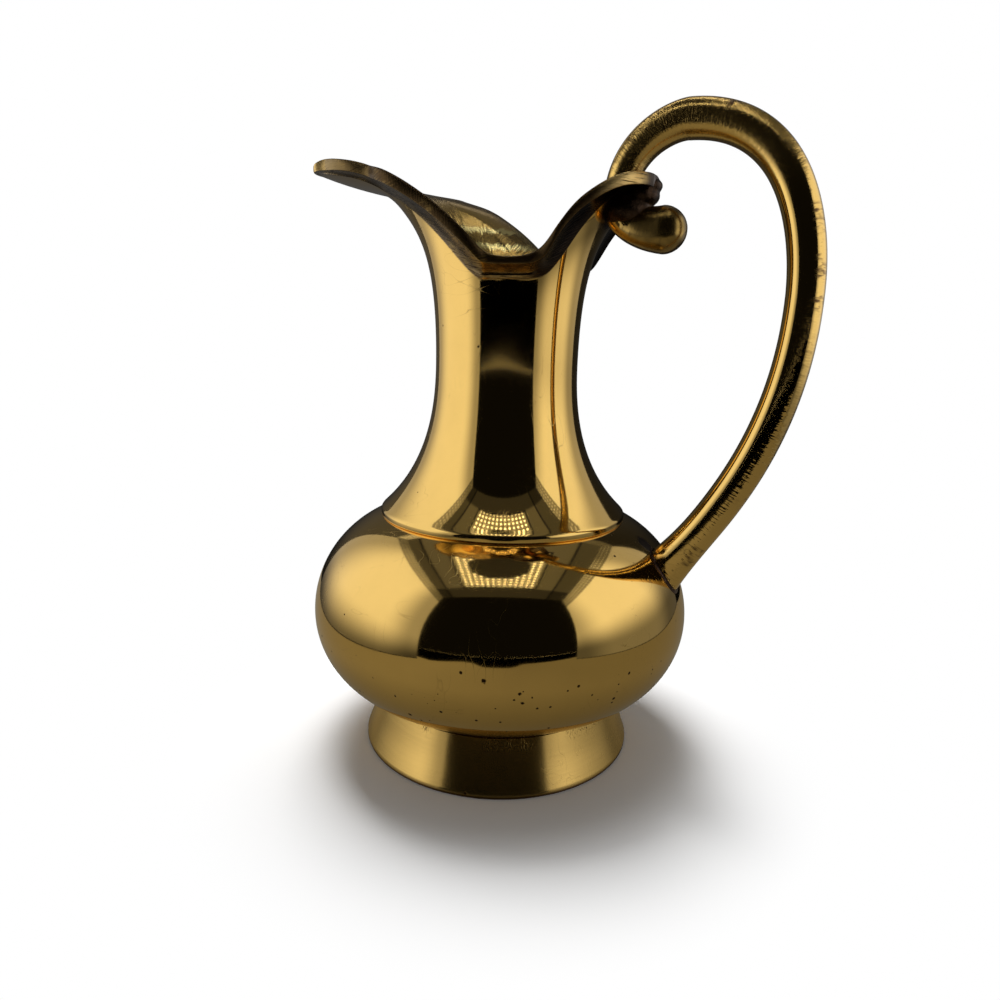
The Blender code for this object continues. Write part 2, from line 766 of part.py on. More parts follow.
def main():
    for leftover in list(bpy.data.objects):
        bpy.data.objects.remove(leftover, do_unlink=True)
    bowl_brass = material("bowl_brass", (0.80, 0.55, 0.20), 0.12)
    foot_brass = material("foot_brass", (0.78, 0.54, 0.20), 0.18)
    neck_brass = material("neck_brass", (0.82, 0.57, 0.21), 0.12)
    bar_brass = material("handle_brass", (0.80, 0.54, 0.19), 0.16)
    braze = material("braze_metal", (0.62, 0.45, 0.22), 0.35)
    solder = material("solder_metal", (0.36, 0.34, 0.32), 0.45)
    pieces = [
        foot_ring(foot_brass),
        foot_braze(braze),
        body_bowl(bowl_brass),
        neck_braze(braze),
        neck(neck_brass),
        handle(bar_brass),
        handle_top_solder(solder),
        handle_root_solder(solder),
    ]
    bpy.context.view_layer.update()
    centre_on_origin(pieces)


if __name__ == "__main__":
    main()
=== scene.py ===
"""Brass pitcher: its detailed pieces, brass finishes and a light tent to show it in.

Lengths are metres. The spout points along -X and the handle along +X.
"""

import math
from bisect import bisect_right
from functools import cached_property

import bmesh
import bpy
from bpy.props import FloatProperty, FloatVectorProperty, IntProperty, PointerProperty
from mathutils import Matrix, Vector, noise


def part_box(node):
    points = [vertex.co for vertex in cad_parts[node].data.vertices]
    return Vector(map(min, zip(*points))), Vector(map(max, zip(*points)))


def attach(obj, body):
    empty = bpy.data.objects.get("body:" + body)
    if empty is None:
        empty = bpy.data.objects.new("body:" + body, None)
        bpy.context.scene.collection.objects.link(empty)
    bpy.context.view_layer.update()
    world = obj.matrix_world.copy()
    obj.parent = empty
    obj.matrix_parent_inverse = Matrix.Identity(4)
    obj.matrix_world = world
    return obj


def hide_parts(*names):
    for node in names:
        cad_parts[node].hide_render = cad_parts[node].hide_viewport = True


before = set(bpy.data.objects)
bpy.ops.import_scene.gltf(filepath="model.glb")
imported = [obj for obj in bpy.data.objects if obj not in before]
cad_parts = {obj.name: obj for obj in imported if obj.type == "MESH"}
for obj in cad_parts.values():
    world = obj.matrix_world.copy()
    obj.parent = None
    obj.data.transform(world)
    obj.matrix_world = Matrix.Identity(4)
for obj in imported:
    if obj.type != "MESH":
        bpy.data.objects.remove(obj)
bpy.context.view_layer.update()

bl_info = {
    "name": "Brass pitcher",
    "version": (1, 0, 0),
    "blender": (4, 5, 0),
    "location": "3D View > Sidebar > Pitcher",
    "description": "Builds a cast brass pitcher with a scrolled handle, and a light tent round it",
    "category": "Add Mesh",
}

FOOT_HIGH = Vector(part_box("foot_ring")[1])
BOWL_LOW, BOWL_HIGH = (Vector(corner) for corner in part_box("body_bowl"))
AXIS_X = (BOWL_LOW.x + BOWL_HIGH.x) / 2

# Sizes that do not change with the settings. A rise is a height above what is below,
# a slope is in degrees above level, and a pull is how far a curve keeps its direction.
GAP = 0.0003
SNUG = 0.00005
BRAZE_THICKNESS = 0.0009
FOOT_EDGE, FOOT_HOLLOW, FOOT_CORNER = 0.0010, 0.0003, 0.0002
BELLY_RISE, BELLY_ROUNDING = 0.0206, 0.0199
SHOULDER_RISE, SHOULDER_ROUNDING = 0.0255, 0.0265
BOWL_MOUTH_RADIUS = 0.0235
SKIRT_EDGE, SKIRT_ROUNDING, SKIRT_SLOPE, SKIRT_PULL = 0.0013, 0.0004, 42.0, 0.0165
BRAZE_SEAT_INSET, BRAZE_SEAT_WIDTH = 0.0049, 0.0032
WAIST_RISE, WAIST_PULL_DOWN, WAIST_PULL_UP = 0.0355, 0.0090, 0.0212
KNEE_OUT, KNEE_RISE, KNEE_SLOPE = 0.0083, 0.0339, 49.6
KNEE_PULL_DOWN, KNEE_PULL_UP = 0.0079, 0.0090
FLARE_OUT, FLARE_RISE, FLARE_SLOPE, FLARE_PULL = 0.0276, 0.0108, 24.0, 0.0165
LIP_SAG, LIP_ROUNDING, ARRIS_ROUNDING, EDGE_CROWN = 0.0005, 0.0026, 0.0005, 0.00009
LOBE_TURN = 30.0

# The cut edge drawn on the flare: turn from the spout, way up the flare from the waist,
# how far the lip stands out there, and height of the edge
SPOUT_CUT = (
    (0.0, 0.0624, 0.0019, 0.0018),
    (20.0, 0.0562, 0.0018, 0.0020),
    (28.7, 0.0510, 0.0041, 0.0025),
    (32.3, 0.0470, 0.0068, 0.0024),
    (33.1, 0.0402, 0.0091, 0.0025),
    (46.5, 0.0351, 0.0096, 0.0027),
    (57.8, 0.0302, 0.0081, 0.0028),
    (76.9, 0.0224, 0.0075, 0.0030),
    (90.9, 0.0183, 0.0060, 0.0027),
)
BACK_CUT = (
    (101.3, 0.0181, 0.0047, 0.0018),
    (114.0, 0.0182, 0.0045, 0.0015),
    (127.2, 0.0185, 0.0049, 0.0021),
    (138.7, 0.0200, 0.0067, 0.0028),
    (149.6, 0.0251, 0.0082, 0.0025),
    (158.1, 0.0324, 0.0077, 0.0025),
    (164.7, 0.0384, 0.0058, 0.0026),
    (172.7, 0.0410, 0.0042, 0.0027),
    (180.0, 0.0416, 0.0036, 0.0029),
)
CUT_STEPS = 6
EDGE_STEPS = 4
ROLL_STEPS = 10
FLARE_STEPS = 120
WALL_STEPS = 40

# The ledge under the lip at the side notches: turns where it starts and ends, how far it
# stands proud, and its outline as share of the lip's width and share of the stand
LEDGE_TURNS = (86.0, 94.0, 126.0, 134.0)
LEDGE_STAND = 0.0006
LEDGE_OUTLINE = (
    (0.02, 0.55), (0.06, 0.95), (0.14, 1.0), (0.24, 0.95), (0.30, 0.6), (0.36, 0.2),
    (0.46, 0.1), (0.58, 0.05), (0.70, 0.0), (0.82, 0.0),
)

# The handle's bar: half depths at its ball, hook, arch, back and lower end, and the curve
BAR_SQUARENESS = 2.4
BALL_RADIUS, BALL_HALF_WIDTH = 0.0050, 0.0048
HALF_DEPTHS = (BALL_RADIUS, 0.0032, 0.0040, 0.0038, 0.0042)
ROOT_HALF_DEPTH = 0.0063
BALL_OUT, BALL_DROP, BALL_PULL = 0.0101, 0.0045, 0.0045
HOOK_RISE, HOOK_PULL_DOWN, HOOK_PULL_UP = 0.0011, 0.0035, 0.0120
ARCH_OUT, ARCH_RISE, ARCH_PULL_IN, ARCH_PULL_OUT = 0.0141, 0.0172, 0.0038, 0.0233
BACK_CLEARANCE, BACK_DROP, BACK_PULL_UP, BACK_PULL_DOWN = 0.0187, 0.0350, 0.0096, 0.0339
ROOT_IN, ROOT_DROP, ROOT_SLOPE, ROOT_PULL = 0.0068, 0.0141, 54.7, 0.0160
SECTION_STEPS = (26, 44, 64, 64)
BAR_SIDES = 40
CAP_STEPS = 11
ROOT_FLARE_STEPS = 23
BAR_INSET = 0.000006

# Solder: balls under the back lobe, with place out from and above the knee and half
# sizes, the voxels that run them together, and the seam round the root
SOLDER_BALLS = (
    ((0.0018, -0.0004), (0.0056, 0.0058, 0.0040)),
    ((0.0052, 0.0026), (0.0036, 0.0044, 0.0026)),
    ((0.0068, 0.0044), (0.0024, 0.0036, 0.0018)),
)
SOLDER_GRAIN = 0.00022
SOLDER_SINK = 0.0008
FILLET_LEG, FILLET_FULLNESS = 0.0005, 0.35

# Larger casting pits: place and radius
BOWL_PITS = (
    ((0.0062, -0.0441, 0.0352), 0.00050),
    ((0.0128, -0.0411, 0.0325), 0.00038),
    ((0.0117, -0.0414, 0.0311), 0.00026),
    ((0.0132, -0.0404, 0.0302), 0.00036),
    ((0.0150, -0.0397, 0.0315), 0.00020),
    ((0.0157, -0.0385, 0.0287), 0.00030),
    ((0.0180, -0.0369, 0.0288), 0.00030),
    ((-0.0135, -0.0450, 0.0280), 0.00030),
    ((-0.0031, -0.0443, 0.0264), 0.00034),
    ((-0.0112, -0.0427, 0.0231), 0.00045),
    ((0.0211, -0.0355, 0.0324), 0.00024),
    ((0.0251, -0.0313, 0.0304), 0.00030),
)
NECK_PITS = (
    ((-0.0190, -0.0137, 0.1038), 0.00022),
    ((-0.0085, -0.0170, 0.0996), 0.00032),
)
PIT_COLOUR = (0.05, 0.025, 0.012, 1.0)

# Bands in the throat, painted reflections: a painted highlight of the lamp panel and a painted dark
# reflection of its hole. Heights where each starts, is full, starts to end and is gone
PAINTED_HIGHLIGHT_BAND = (0.1230, 0.1236, 0.1284, 0.1292)
PAINTED_DARK_REFLECTION_BAND = (0.1244, 0.1250, 0.1272, 0.1278)

# How far the shading leans up per metre of height on the foot, and of way at the spout
FOOT_LEAN = 600.0
SPOUT_LEAN = 1500.0

# Where the camera stands, from the foot's centre, turned from square on to the side
CAMERA_TURN = 22.0
CAMERA_DISTANCE = 0.1836
CAMERA_HEIGHT = 0.10352
CAMERA_YAW, CAMERA_PITCH, CAMERA_ROLL = -0.218, 12.862, 1.612
CAMERA_LENS = 26.99

# The light tent, seen from above with the camera at the bottom: X to the right, Y away
TENT_FRONT_LEFT, TENT_FRONT_RIGHT, TENT_FRONT_TOP = -0.172, -0.250, -0.172
TENT_WIDE = 0.215
TENT_LOW = 0.0005
PANEL_CENTRE = (-0.003, -0.032)
PANEL_HOLE = 0.051
PANEL_EXTRA_DEPTH = 0.013

# The lamps: distance between them, how much more than its surroundings a spot glows and
# how much these glow, on the panel and on the walls. Then the glow of the panel's hole,
# where the ceiling's seam runs, and the glow of the cloth inside it and outside it.
LAMP_PITCH = 0.0110
PANEL_LAMPS = (5.0, 0.24)
WALL_LAMPS = (0.9, 0.25)
HOLE_GLOW = 0.028
CLOTH_SEAM = 0.120
CLOTH_GLOWS = (0.12, 0.07)

# The tent's floor: colour, glow at its left and right, share of it that the foot's shade
# leaves, and how far towards the camera it reaches in the middle and beside it
TENT_FLOOR_TINT = (1.0, 0.92, 0.72, 1.0)
TENT_FLOOR_GLOWS = (0.24, 0.17)
FOOT_SHADE = 0.55
TENT_FLOOR_FRONTS = (-0.235, -0.335)

# Each wall: glow at the floor, heights between which the glow rises to full, and its
# fades as axis, from, to, and share of the glow at each
LEFT_WALL = (
    0.13, (0.0, 0.075), (("Y", -0.150, -0.075, 0.38, 1.0), ("Y", 0.020, 0.120, 1.0, 0.42)))
RIGHT_WALL = (
    0.21, (0.035, 0.115), (("Y", -0.210, -0.105, 0.45, 1.0), ("Y", 0.010, 0.085, 1.0, 0.42)))
BACK_WALL = (0.10, (0.0, 0.110), (("X", -0.150, 0.150, 1.0, 0.22),))

ROOM_SIZE, ROOM_GLOW = 4.0, 0.004
FLOOR_RADIUS = 3.0
FLOOR_GREY = 0.50
SHADOW_REACH = (0.042, 0.084)
LAMP_PLACE = (-0.12, 0.10, 0.45)
LAMP_SIZE, LAMP_ENERGY = 0.22, 2.25
WORLD_LIGHT = 0.25
WHITE = (1.0, 1.0, 1.0, 1.0)


class PitcherSizes(bpy.types.PropertyGroup):
    """Sizes of the brass pieces."""

    foot_radius: FloatProperty(
        name="Foot radius", description="Radius of the edge that the pitcher stands on",
        default=FOOT_HIGH.x - AXIS_X, unit="LENGTH")
    foot_top_radius: FloatProperty(
        name="Foot top radius", description="Radius of the foot under the bowl",
        default=0.0302, unit="LENGTH")
    foot_height: FloatProperty(
        name="Foot height", description="Height of the foot ring",
        default=FOOT_HIGH.z, unit="LENGTH")
    belly_radius: FloatProperty(
        name="Belly radius", description="Radius of the bowl at its widest",
        default=BOWL_HIGH.x - AXIS_X, unit="LENGTH")
    skirt_radius: FloatProperty(
        name="Skirt radius", description="Radius of the skirt that laps over the shoulder",
        default=0.0301, unit="LENGTH")
    neck_radius: FloatProperty(
        name="Neck radius", description="Radius of the neck at its waist",
        default=0.0170, unit="LENGTH")
    foot_wall: FloatProperty(
        name="Foot wall", description="Thickness of the foot ring", default=0.0024, unit="LENGTH")
    bowl_wall: FloatProperty(
        name="Bowl wall", description="Thickness of the bowl", default=0.0022, unit="LENGTH")
    neck_wall: FloatProperty(
        name="Neck wall", description="Thickness of the neck", default=0.0024, unit="LENGTH")
    lip_width: FloatProperty(
        name="Lip width", description="Width of the lip against the drawn one",
        default=1.0, min=0.2, max=1.2, subtype="FACTOR")
    lip_edge: FloatProperty(
        name="Lip edge", description="Height of the cut edge against the drawn one",
        default=1.0, min=0.2, max=1.2, subtype="FACTOR")
    bar_half_width: FloatProperty(
        name="Bar half width", description="Half the breadth of the handle's bar",
        default=0.0042, unit="LENGTH")
    turn_steps: IntProperty(
        name="Steps in a turn", description="Faces round each turned piece",
        default=192, min=32, max=512)


class PitcherFinish(bpy.types.PropertyGroup):
    """Colours and polish of the metals."""

    brass: FloatVectorProperty(
        name="Brass", description="Colour of polished brass",
        default=(0.90, 0.59, 0.175), subtype="COLOR", min=0.0, max=1.0)
    tarnish: FloatVectorProperty(
        name="Tarnish", description="Colour of tarnished brass",
        default=(0.10, 0.055, 0.025), subtype="COLOR", min=0.0, max=1.0)
    solder: FloatVectorProperty(
        name="Solder", description="Colour of the grey solder",
        default=(0.24, 0.20, 0.18), subtype="COLOR", min=0.0, max=1.0)
    polish: FloatProperty(
        name="Polish", description="Roughness of the polished brass",
        default=0.05, min=0.0, max=1.0, subtype="FACTOR")


class PitcherStage(bpy.types.PropertyGroup):
    """The light tent round the pitcher."""

    wall_light: FloatProperty(
        name="Wall light", description="Brightness of the upper walls", default=1.0, min=0.0)
    tent_left: FloatProperty(
        name="Left wall", description="Distance of the left wall", default=0.152, unit="LENGTH")
    tent_right: FloatProperty(
        name="Right wall", description="Distance of the top of the right wall",
        default=0.168, unit="LENGTH")
    tent_depth: FloatProperty(
        name="Depth", description="Distance of the back wall", default=0.153, unit="LENGTH")
    tent_height: FloatProperty(
        name="Height", description="Height of the ceiling", default=0.265, unit="LENGTH")
    panel_size: FloatProperty(
        name="Lamp panel", description="Half width of the lamp panel", default=0.075, unit="LENGTH")


def settings():
    return bpy.context.scene.pitcher_sizes


def finish_settings():
    return bpy.context.scene.pitcher_finish


# Curves in a plane of radius and height

def heading(angle):
    """Unit direction at an angle above level."""
    return Vector((math.cos(math.radians(angle)), math.sin(math.radians(angle))))


def cubic(start, pull_start, pull_end, end, t):
    """One point of a cubic curve."""
    u = 1.0 - t
    point = start * u ** 3 + pull_start * 3 * u * u * t
    return point + pull_end * 3 * u * t * t + end * t ** 3


def bezier(start, pull_start, pull_end, end, steps):
    """Points along a cubic curve, from start up to but not including end."""
    return [cubic(start, pull_start, pull_end, end, index / steps) for index in range(steps)]


def rounded(start, corner, end, steps):
    """Points round a corner, both ends included."""
    shares = [index / steps for index in range(steps + 1)]
    return [start * (1 - t) ** 2 + corner * 2 * t * (1 - t) + end * t * t for t in shares]


def through(points, steps):
    """A smooth curve through points, each pair of neighbours split into steps."""
    vectors = [Vector(point) for point in points]
    padded = [vectors[0] * 2 - vectors[1]] + vectors + [vectors[-1] * 2 - vectors[-2]]
    curve = []
    for a, b, c, d in zip(padded, padded[1:], padded[2:], padded[3:]):
        for step in range(steps):
            t = step / steps
            point = b * 2 + (c - a) * t
            point = point + (a * 2 - b * 5 + c * 4 - d) * t ** 2
            point = point + (b * 3 - a - c * 3 + d) * t ** 3
            curve.append(point * 0.5)
    curve.append(vectors[-1])
    return curve


def arc(centre, width, height, start, end, steps):
    """Points along an elliptical arc between two angles, both ends included."""
    points = []
    for index in range(steps + 1):
        way = heading(start + (end - start) * index / steps)
        points.append(centre + Vector((width * way.x, height * way.y)))
    return points


def offset(profile, distance):
    """A profile moved sideways, to the right of its direction of travel."""
    moved = []
    for index, point in enumerate(profile):
        ahead = profile[min(index + 1, len(profile) - 1)]
        along = (ahead - profile[max(index - 1, 0)]).normalized()
        moved.append(point + Vector((along.y, -along.x)) * distance)
    return moved


def turned(point, turn):
    """A radius and height, turned from the spout round the axis."""
    angle = math.radians(turn)
    return Vector((-point.x * math.cos(angle), -point.x * math.sin(angle), point.y))


def in_plane(point, out=0.0, up=0.0):
    """The place of a radius and height on the handle's side, moved out and up."""
    return (AXIS_X + point.x + out, 0.0, point.y + up)


# Heights that follow from the sizes

def belly_height():
    return settings().foot_height + GAP + BRAZE_THICKNESS + GAP + BELLY_RISE


def oval(distance, reach):
    """Share of an oval's full width at a distance from its middle."""
    return math.sqrt(max(0.0, 1.0 - (distance / reach) ** 2))


def shoulder_height(radius):
    """Height of the bowl's outer surface above its widest point."""
    out = radius - settings().belly_radius + SHOULDER_ROUNDING
    return belly_height() + SHOULDER_RISE * oval(out, SHOULDER_ROUNDING)


def bowl_radius(height):
    """Outer radius of the bowl at a height."""
    above = height - belly_height()
    rise, rounding = BELLY_RISE, BELLY_ROUNDING
    if above >= 0.0:
        rise, rounding = SHOULDER_RISE, SHOULDER_ROUNDING
    return settings().belly_radius - rounding + rounding * oval(above, rise)


def skirt_seat():
    return shoulder_height(settings().skirt_radius) + GAP


def waist():
    return Vector((settings().neck_radius, skirt_seat() + SKIRT_EDGE + WAIST_RISE))


def knee():
    return waist() + Vector((KNEE_OUT, KNEE_RISE))


# Mesh makers

def as_object(name, builder, material):
    """Make a bmesh into an object of one material."""
    mesh = bpy.data.meshes.new(name)
    builder.to_mesh(mesh)
    builder.free()
    mesh.materials.append(material)
    piece = bpy.data.objects.new(name, mesh)
    bpy.context.scene.collection.objects.link(piece)
    return piece


def smoothed(mesh, angle):
    mesh.shade_smooth()
    mesh.set_sharp_from_angle(angle=math.radians(angle))


def finished(name, builder, metal, node=None, smooth_angle=35.0):
    """Make a bmesh into a piece of the pitcher, standing where its solid stands."""
    bmesh.ops.recalc_face_normals(builder, faces=builder.faces)
    bmesh.ops.translate(builder, verts=builder.verts, vec=(AXIS_X, 0.0, 0.0))
    piece = as_object(name, builder, bpy.data.materials[metal])
    smoothed(piece.data, smooth_angle)
    if node:
        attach(piece, "root")
        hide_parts(node)
    return piece


def spun(profile, steps):
    """A bmesh turned from a closed profile, or from one that ends on the axis."""
    builder = bmesh.new()
    points = [builder.verts.new((point.x, 0.0, point.y)) for point in profile]
    pairs = list(zip(points, points[1:]))
    if profile[0].x > 1e-6:
        pairs.append((points[-1], points[0]))
    edges = [builder.edges.new(pair) for pair in pairs]
    bmesh.ops.spin(
        builder, geom=points + edges, cent=(0.0, 0.0, 0.0), axis=(0.0, 0.0, 1.0),
        angle=math.tau, steps=steps, use_merge=True)
    bmesh.ops.remove_doubles(builder, verts=builder.verts, dist=1e-6)
    return builder


def rolled(rings, closed, marks=None):
    """A bmesh rolled up from a grid: rings of equal count, joined end to end or capped."""
    rows = rings + rings[:1] if closed else rings
    around = len(rings[0])
    builder = bmesh.new()
    layers = {key: builder.verts.layers.float.new(key) for key in marks or {}}
    grid = bmesh.ops.create_grid(builder, x_segments=around, y_segments=len(rows) - 1, size=1.0)
    verts = sorted(grid["verts"], key=lambda vert: (round(vert.co.y, 6), round(vert.co.x, 6)))
    for index, vert in enumerate(verts):
        row, column = divmod(index, around + 1)
        column %= around
        vert.co = rows[row][column]
        for key, layer in layers.items():
            vert[layer] = marks[key][row % len(rings)][column]
    bmesh.ops.remove_doubles(builder, verts=builder.verts, dist=1e-7)
    if not closed:
        bmesh.ops.holes_fill(builder, edges=builder.edges, sides=around)
    return builder


def applied(piece, smooth_angle):
    """Keep the result of a piece's modifiers as its mesh."""
    shape = bpy.context.evaluated_depsgraph_get()
    mesh = bpy.data.meshes.new_from_object(piece.evaluated_get(shape), depsgraph=shape)
    piece.modifiers.clear()
    old, piece.data = piece.data, mesh
    name = old.name
    bpy.data.meshes.remove(old)
    mesh.name = name
    smoothed(mesh, smooth_angle)


def cut_by(piece, cutter, smooth_angle=35.0):
    """Cut a piece by another, which is then removed."""
    modifier = piece.modifiers.new("Cut", "BOOLEAN")
    modifier.operation = "DIFFERENCE"
    modifier.solver = "EXACT"
    modifier.object = cutter
    applied(piece, smooth_angle)
    bpy.data.objects.remove(cutter, do_unlink=True)


# Material nodes

class Graph:
    """The nodes of one material, world or group, each made and fed in one call."""

    def __init__(self, tree):
        self.tree = tree

    @cached_property
    def vector(self):
        return self.tree.nodes.new("ShaderNodeTexCoord").outputs["Object"]

    @cached_property
    def place(self):
        """X, Y and Z of the surface."""
        return self.add("SeparateXYZ", {0: self.vector})

    def feed(self, socket, value):
        """Link a socket to a source, or set it to a value."""
        if isinstance(value, bpy.types.NodeSocket):
            self.tree.links.new(value, socket)
        else:
            socket.default_value = value

    def add(self, kind, inputs, **options):
        """The outputs of a new node with its options set and its inputs fed."""
        node = self.tree.nodes.new("ShaderNode" + kind)
        for key, option in options.items():
            setattr(node, key, option)
        for key, value in inputs.items():
            self.feed(node.inputs[key], value)
        return node.outputs

    def surface(self, shader):
        """End the material in a shader."""
        self.feed(self.tree.nodes.new("ShaderNodeOutputMaterial").inputs["Surface"], shader)

    def maths(self, operation, *values, clamp=False):
        return self.add("Math", dict(enumerate(values)), operation=operation, use_clamp=clamp)[0]

    def plus(self, first, second):
        return self.maths("ADD", first, second)

    def minus(self, first, second):
        return self.maths("SUBTRACT", first, second)

    def times(self, *values):
        total = values[0]
        for value in values[1:]:
            total = self.maths("MULTIPLY", total, value)
        return total

    def line(self, value, scale, base):
        """A value times a scale, on top of a base."""
        return self.maths("MULTIPLY_ADD", value, scale, base)

    def hypot(self, x, y):
        return self.maths("SQRT", self.plus(self.times(x, x), self.times(y, y)))

    def ramp(self, value, low, high, start=0.0, end=1.0):
        """A smooth step of a value between two levels."""
        levels = {"Value": value, "From Min": low, "From Max": high, "To Min": start, "To Max": end}
        return self.add("MapRange", levels, interpolation_type="SMOOTHSTEP")[0]

    def mixed(self, factor, first, second):
        """A mix of two colours or of two numbers."""
        if isinstance(second, float):
            return self.add("Mix", {0: factor, 2: first, 3: second}, data_type="FLOAT")[0]
        return self.add("Mix", {0: factor, 6: first, 7: second}, data_type="RGBA")[2]

    def stretched(self, scale, turn=(0.0, 0.0, 0.0)):
        """Coordinates stretched and turned by a Mapping node."""
        return self.add("Mapping", {"Vector": self.vector, "Scale": scale, "Rotation": turn})[0]

    def joined(self, *values):
        return self.add("CombineXYZ", dict(enumerate(values)))[0]

    def noise(self, scale, detail=2.0, roughness=0.5, vector=None, distortion=0.0):
        inputs = {"Vector": vector or self.vector, "Scale": scale, "Detail": detail}
        inputs.update(Roughness=roughness, Distortion=distortion)
        return self.add("TexNoise", inputs)["Fac"]

    def hair_lines(self, scale, width, vector=None, distortion=0.0):
        """Thin lines where a noise crosses its middle."""
        value = self.noise(scale, 0.0, 0.5, vector, distortion)
        return self.ramp(self.maths("ABSOLUTE", self.minus(value, 0.5)), 0.0, width, 1.0, 0.0)

    def near(self, place, reach, core, vector=None):
        """A soft ball of influence round a place."""
        inputs = {0: vector or self.vector, 1: place}
        away = self.add("VectorMath", inputs, operation="DISTANCE")["Value"]
        return self.ramp(away, core, reach, 1.0, 0.0)

    def placed(self, group, **inputs):
        """A node group on the graph's coordinates."""
        inputs["Vector"] = self.vector
        return self.add("Group", inputs, node_tree=bpy.data.node_groups[group])


def new_group(name, outputs, **numbers):
    """A node group on a vector and numbers, as a graph, with its inner and outer sockets."""
    tree = bpy.data.node_groups.new(name, "ShaderNodeTree")
    tree.interface.new_socket("Vector", in_out="INPUT", socket_type="NodeSocketVector")
    for label, number in numbers.items():
        socket = tree.interface.new_socket(label, in_out="INPUT", socket_type="NodeSocketFloat")
        socket.default_value = number
    for label in outputs:
        tree.interface.new_socket(label, in_out="OUTPUT", socket_type="NodeSocketFloat")
    graph = Graph(tree)
    entry = tree.nodes.new("NodeGroupInput").outputs
    graph.vector = entry["Vector"]
    return graph, entry, tree.nodes.new("NodeGroupOutput").inputs


def scratch_group():
    """Fine scratches in two directions and curled hair lines, in patches."""
    graph, entry, leave = new_group("Scratches", ["Mask"], Amount=0.5)
    turned_way = graph.stretched((1, 1, 1), (1.0, 0.4, 2.0))
    slant = graph.stretched((1.0, 1.0, 0.12), (0.5, 0.9, 0.2))
    steep = graph.stretched((0.10, 1.0, 1.0), (0.2, -0.7, 0.9))
    patches = graph.ramp(graph.noise(70.0), 0.52, 0.66)
    others = graph.ramp(graph.noise(55.0, vector=turned_way), 0.54, 0.68)
    total = graph.times(graph.hair_lines(420.0, 0.010, slant), patches)
    for lines, where in (
        (graph.hair_lines(380.0, 0.009, steep), others),
        (graph.hair_lines(75.0, 0.0022, distortion=1.4), patches),
    ):
        total = graph.maths("MAXIMUM", total, graph.times(lines, where))
    graph.feed(leave["Mask"], graph.maths("MULTIPLY", total, entry["Amount"], clamp=True))


def pit_group():
    """Sparse round casting pits of different sizes."""
    graph, entry, leave = new_group("Casting pits", ["Mask"], Scale=420.0, Share=0.25, Size=0.12)
    cells = graph.add("TexVoronoi", {"Vector": graph.vector, "Scale": entry["Scale"]})
    parts = graph.add("SeparateColor", {0: cells["Color"]})
    ragged = graph.line(graph.noise(2200.0, 1.0), 0.12, -0.06)
    size = graph.times(graph.maths("POWER", parts[1], 3.0), entry["Size"])
    size = graph.plus(size, 0.02)
    away = graph.plus(cells["Distance"], ragged)
    spot = graph.ramp(away, size, graph.times(size, 1.5), 1.0, 0.0)
    chosen = graph.maths("LESS_THAN", parts[0], entry["Share"])
    graph.feed(leave["Mask"], graph.times(spot, chosen))


def polish_group():
    """Slow changes of polish, the slight waves of a hand-finished casting, and fine grain."""
    graph, entry, leave = new_group("Hand polish", ["Smudge", "Wave", "Grain"])
    graph.feed(leave["Smudge"], graph.ramp(graph.noise(38.0, 4.0, 0.6), 0.35, 0.7))
    graph.feed(leave["Wave"], graph.noise(45.0, 0.0))
    graph.feed(leave["Grain"], graph.noise(2600.0))


def tone(colour, scale=1.0):
    """A colour for a socket, brightened or dimmed."""
    return (colour[0] * scale, colour[1] * scale, colour[2] * scale, 1.0)


class Coat(Graph):
    """A metal built up layer by layer: its colour, roughness and height of surface."""

    def __init__(self, name, colour, roughness):
        material = bpy.data.materials.new(name)
        material.use_nodes = True
        super().__init__(material.node_tree)
        self.shader = self.tree.nodes["Principled BSDF"].inputs
        self.colour = colour
        self.roughness = roughness
        self.height = 0.0

    def layer(self, mask, colour=None, roughness=None, height=None):
        """Lay a finish over the metal where a mask says."""
        if colour is not None:
            self.colour = self.mixed(mask, self.colour, colour)
        if roughness is not None:
            self.roughness = self.mixed(mask, self.roughness, roughness)
        if height is not None:
            self.height = self.line(mask, height, self.height)

    def mark(self, name):
        """A mark that the piece carries on its vertices."""
        return self.add("Attribute", {}, attribute_name=name)["Fac"]

    def burnt(self, place, reach, core):
        """Brown-black heat stain round a soldered joint."""
        ragged = self.line(self.noise(420.0, 3.0, 0.6), 0.9, 0.5)
        heat = self.ramp(self.times(self.near(place, reach, core), ragged), 0.25, 0.75)
        self.layer(heat, tone(finish_settings().tarnish, 0.45), 0.30)

    def pitted(self, pits):
        """Single pits at their places, with ragged rims."""
        ragged = self.line(self.noise(1900.0, 1.0), 0.0006, -0.0003)
        x, y, z = (self.place[axis] for axis in "XYZ")
        vector = self.joined(self.plus(x, ragged), y, self.minus(z, ragged))
        for place, radius in pits:
            spot = self.near(place, radius * 1.25, radius * 0.6, vector)
            self.layer(spot, PIT_COLOUR, 0.55, -0.10)

    def join(self):
        """Feed the layers to the shader."""
        bump = self.add("Bump", {"Distance": 0.0004, "Height": self.height})
        self.feed(self.shader["Base Color"], self.colour)
        self.feed(self.shader["Roughness"], self.roughness)
        self.feed(self.shader["Metallic"], 1.0)
        self.feed(self.shader["Normal"], bump["Normal"])


def brass_coat(name, roughness, scratches, pits, wave):
    """Polished brass with slow waves, smudges, scratches and casting pits."""
    brass = finish_settings().brass
    coat = Coat(name, tone(brass), roughness)
    hand = coat.placed("Hand polish")
    coat.layer(hand["Smudge"], tone(brass, 0.93), roughness + 0.035)
    coat.layer(hand["Wave"], height=wave)
    coat.layer(hand["Grain"], height=0.002)
    scratch = coat.placed("Scratches", Amount=scratches)["Mask"]
    coat.layer(scratch, tone(brass, 0.75), 0.34, -0.006)
    spots = coat.placed("Casting pits", Share=pits, Size=0.10)["Mask"]
    coat.layer(spots, PIT_COLOUR, 0.55, -0.06)
    return coat


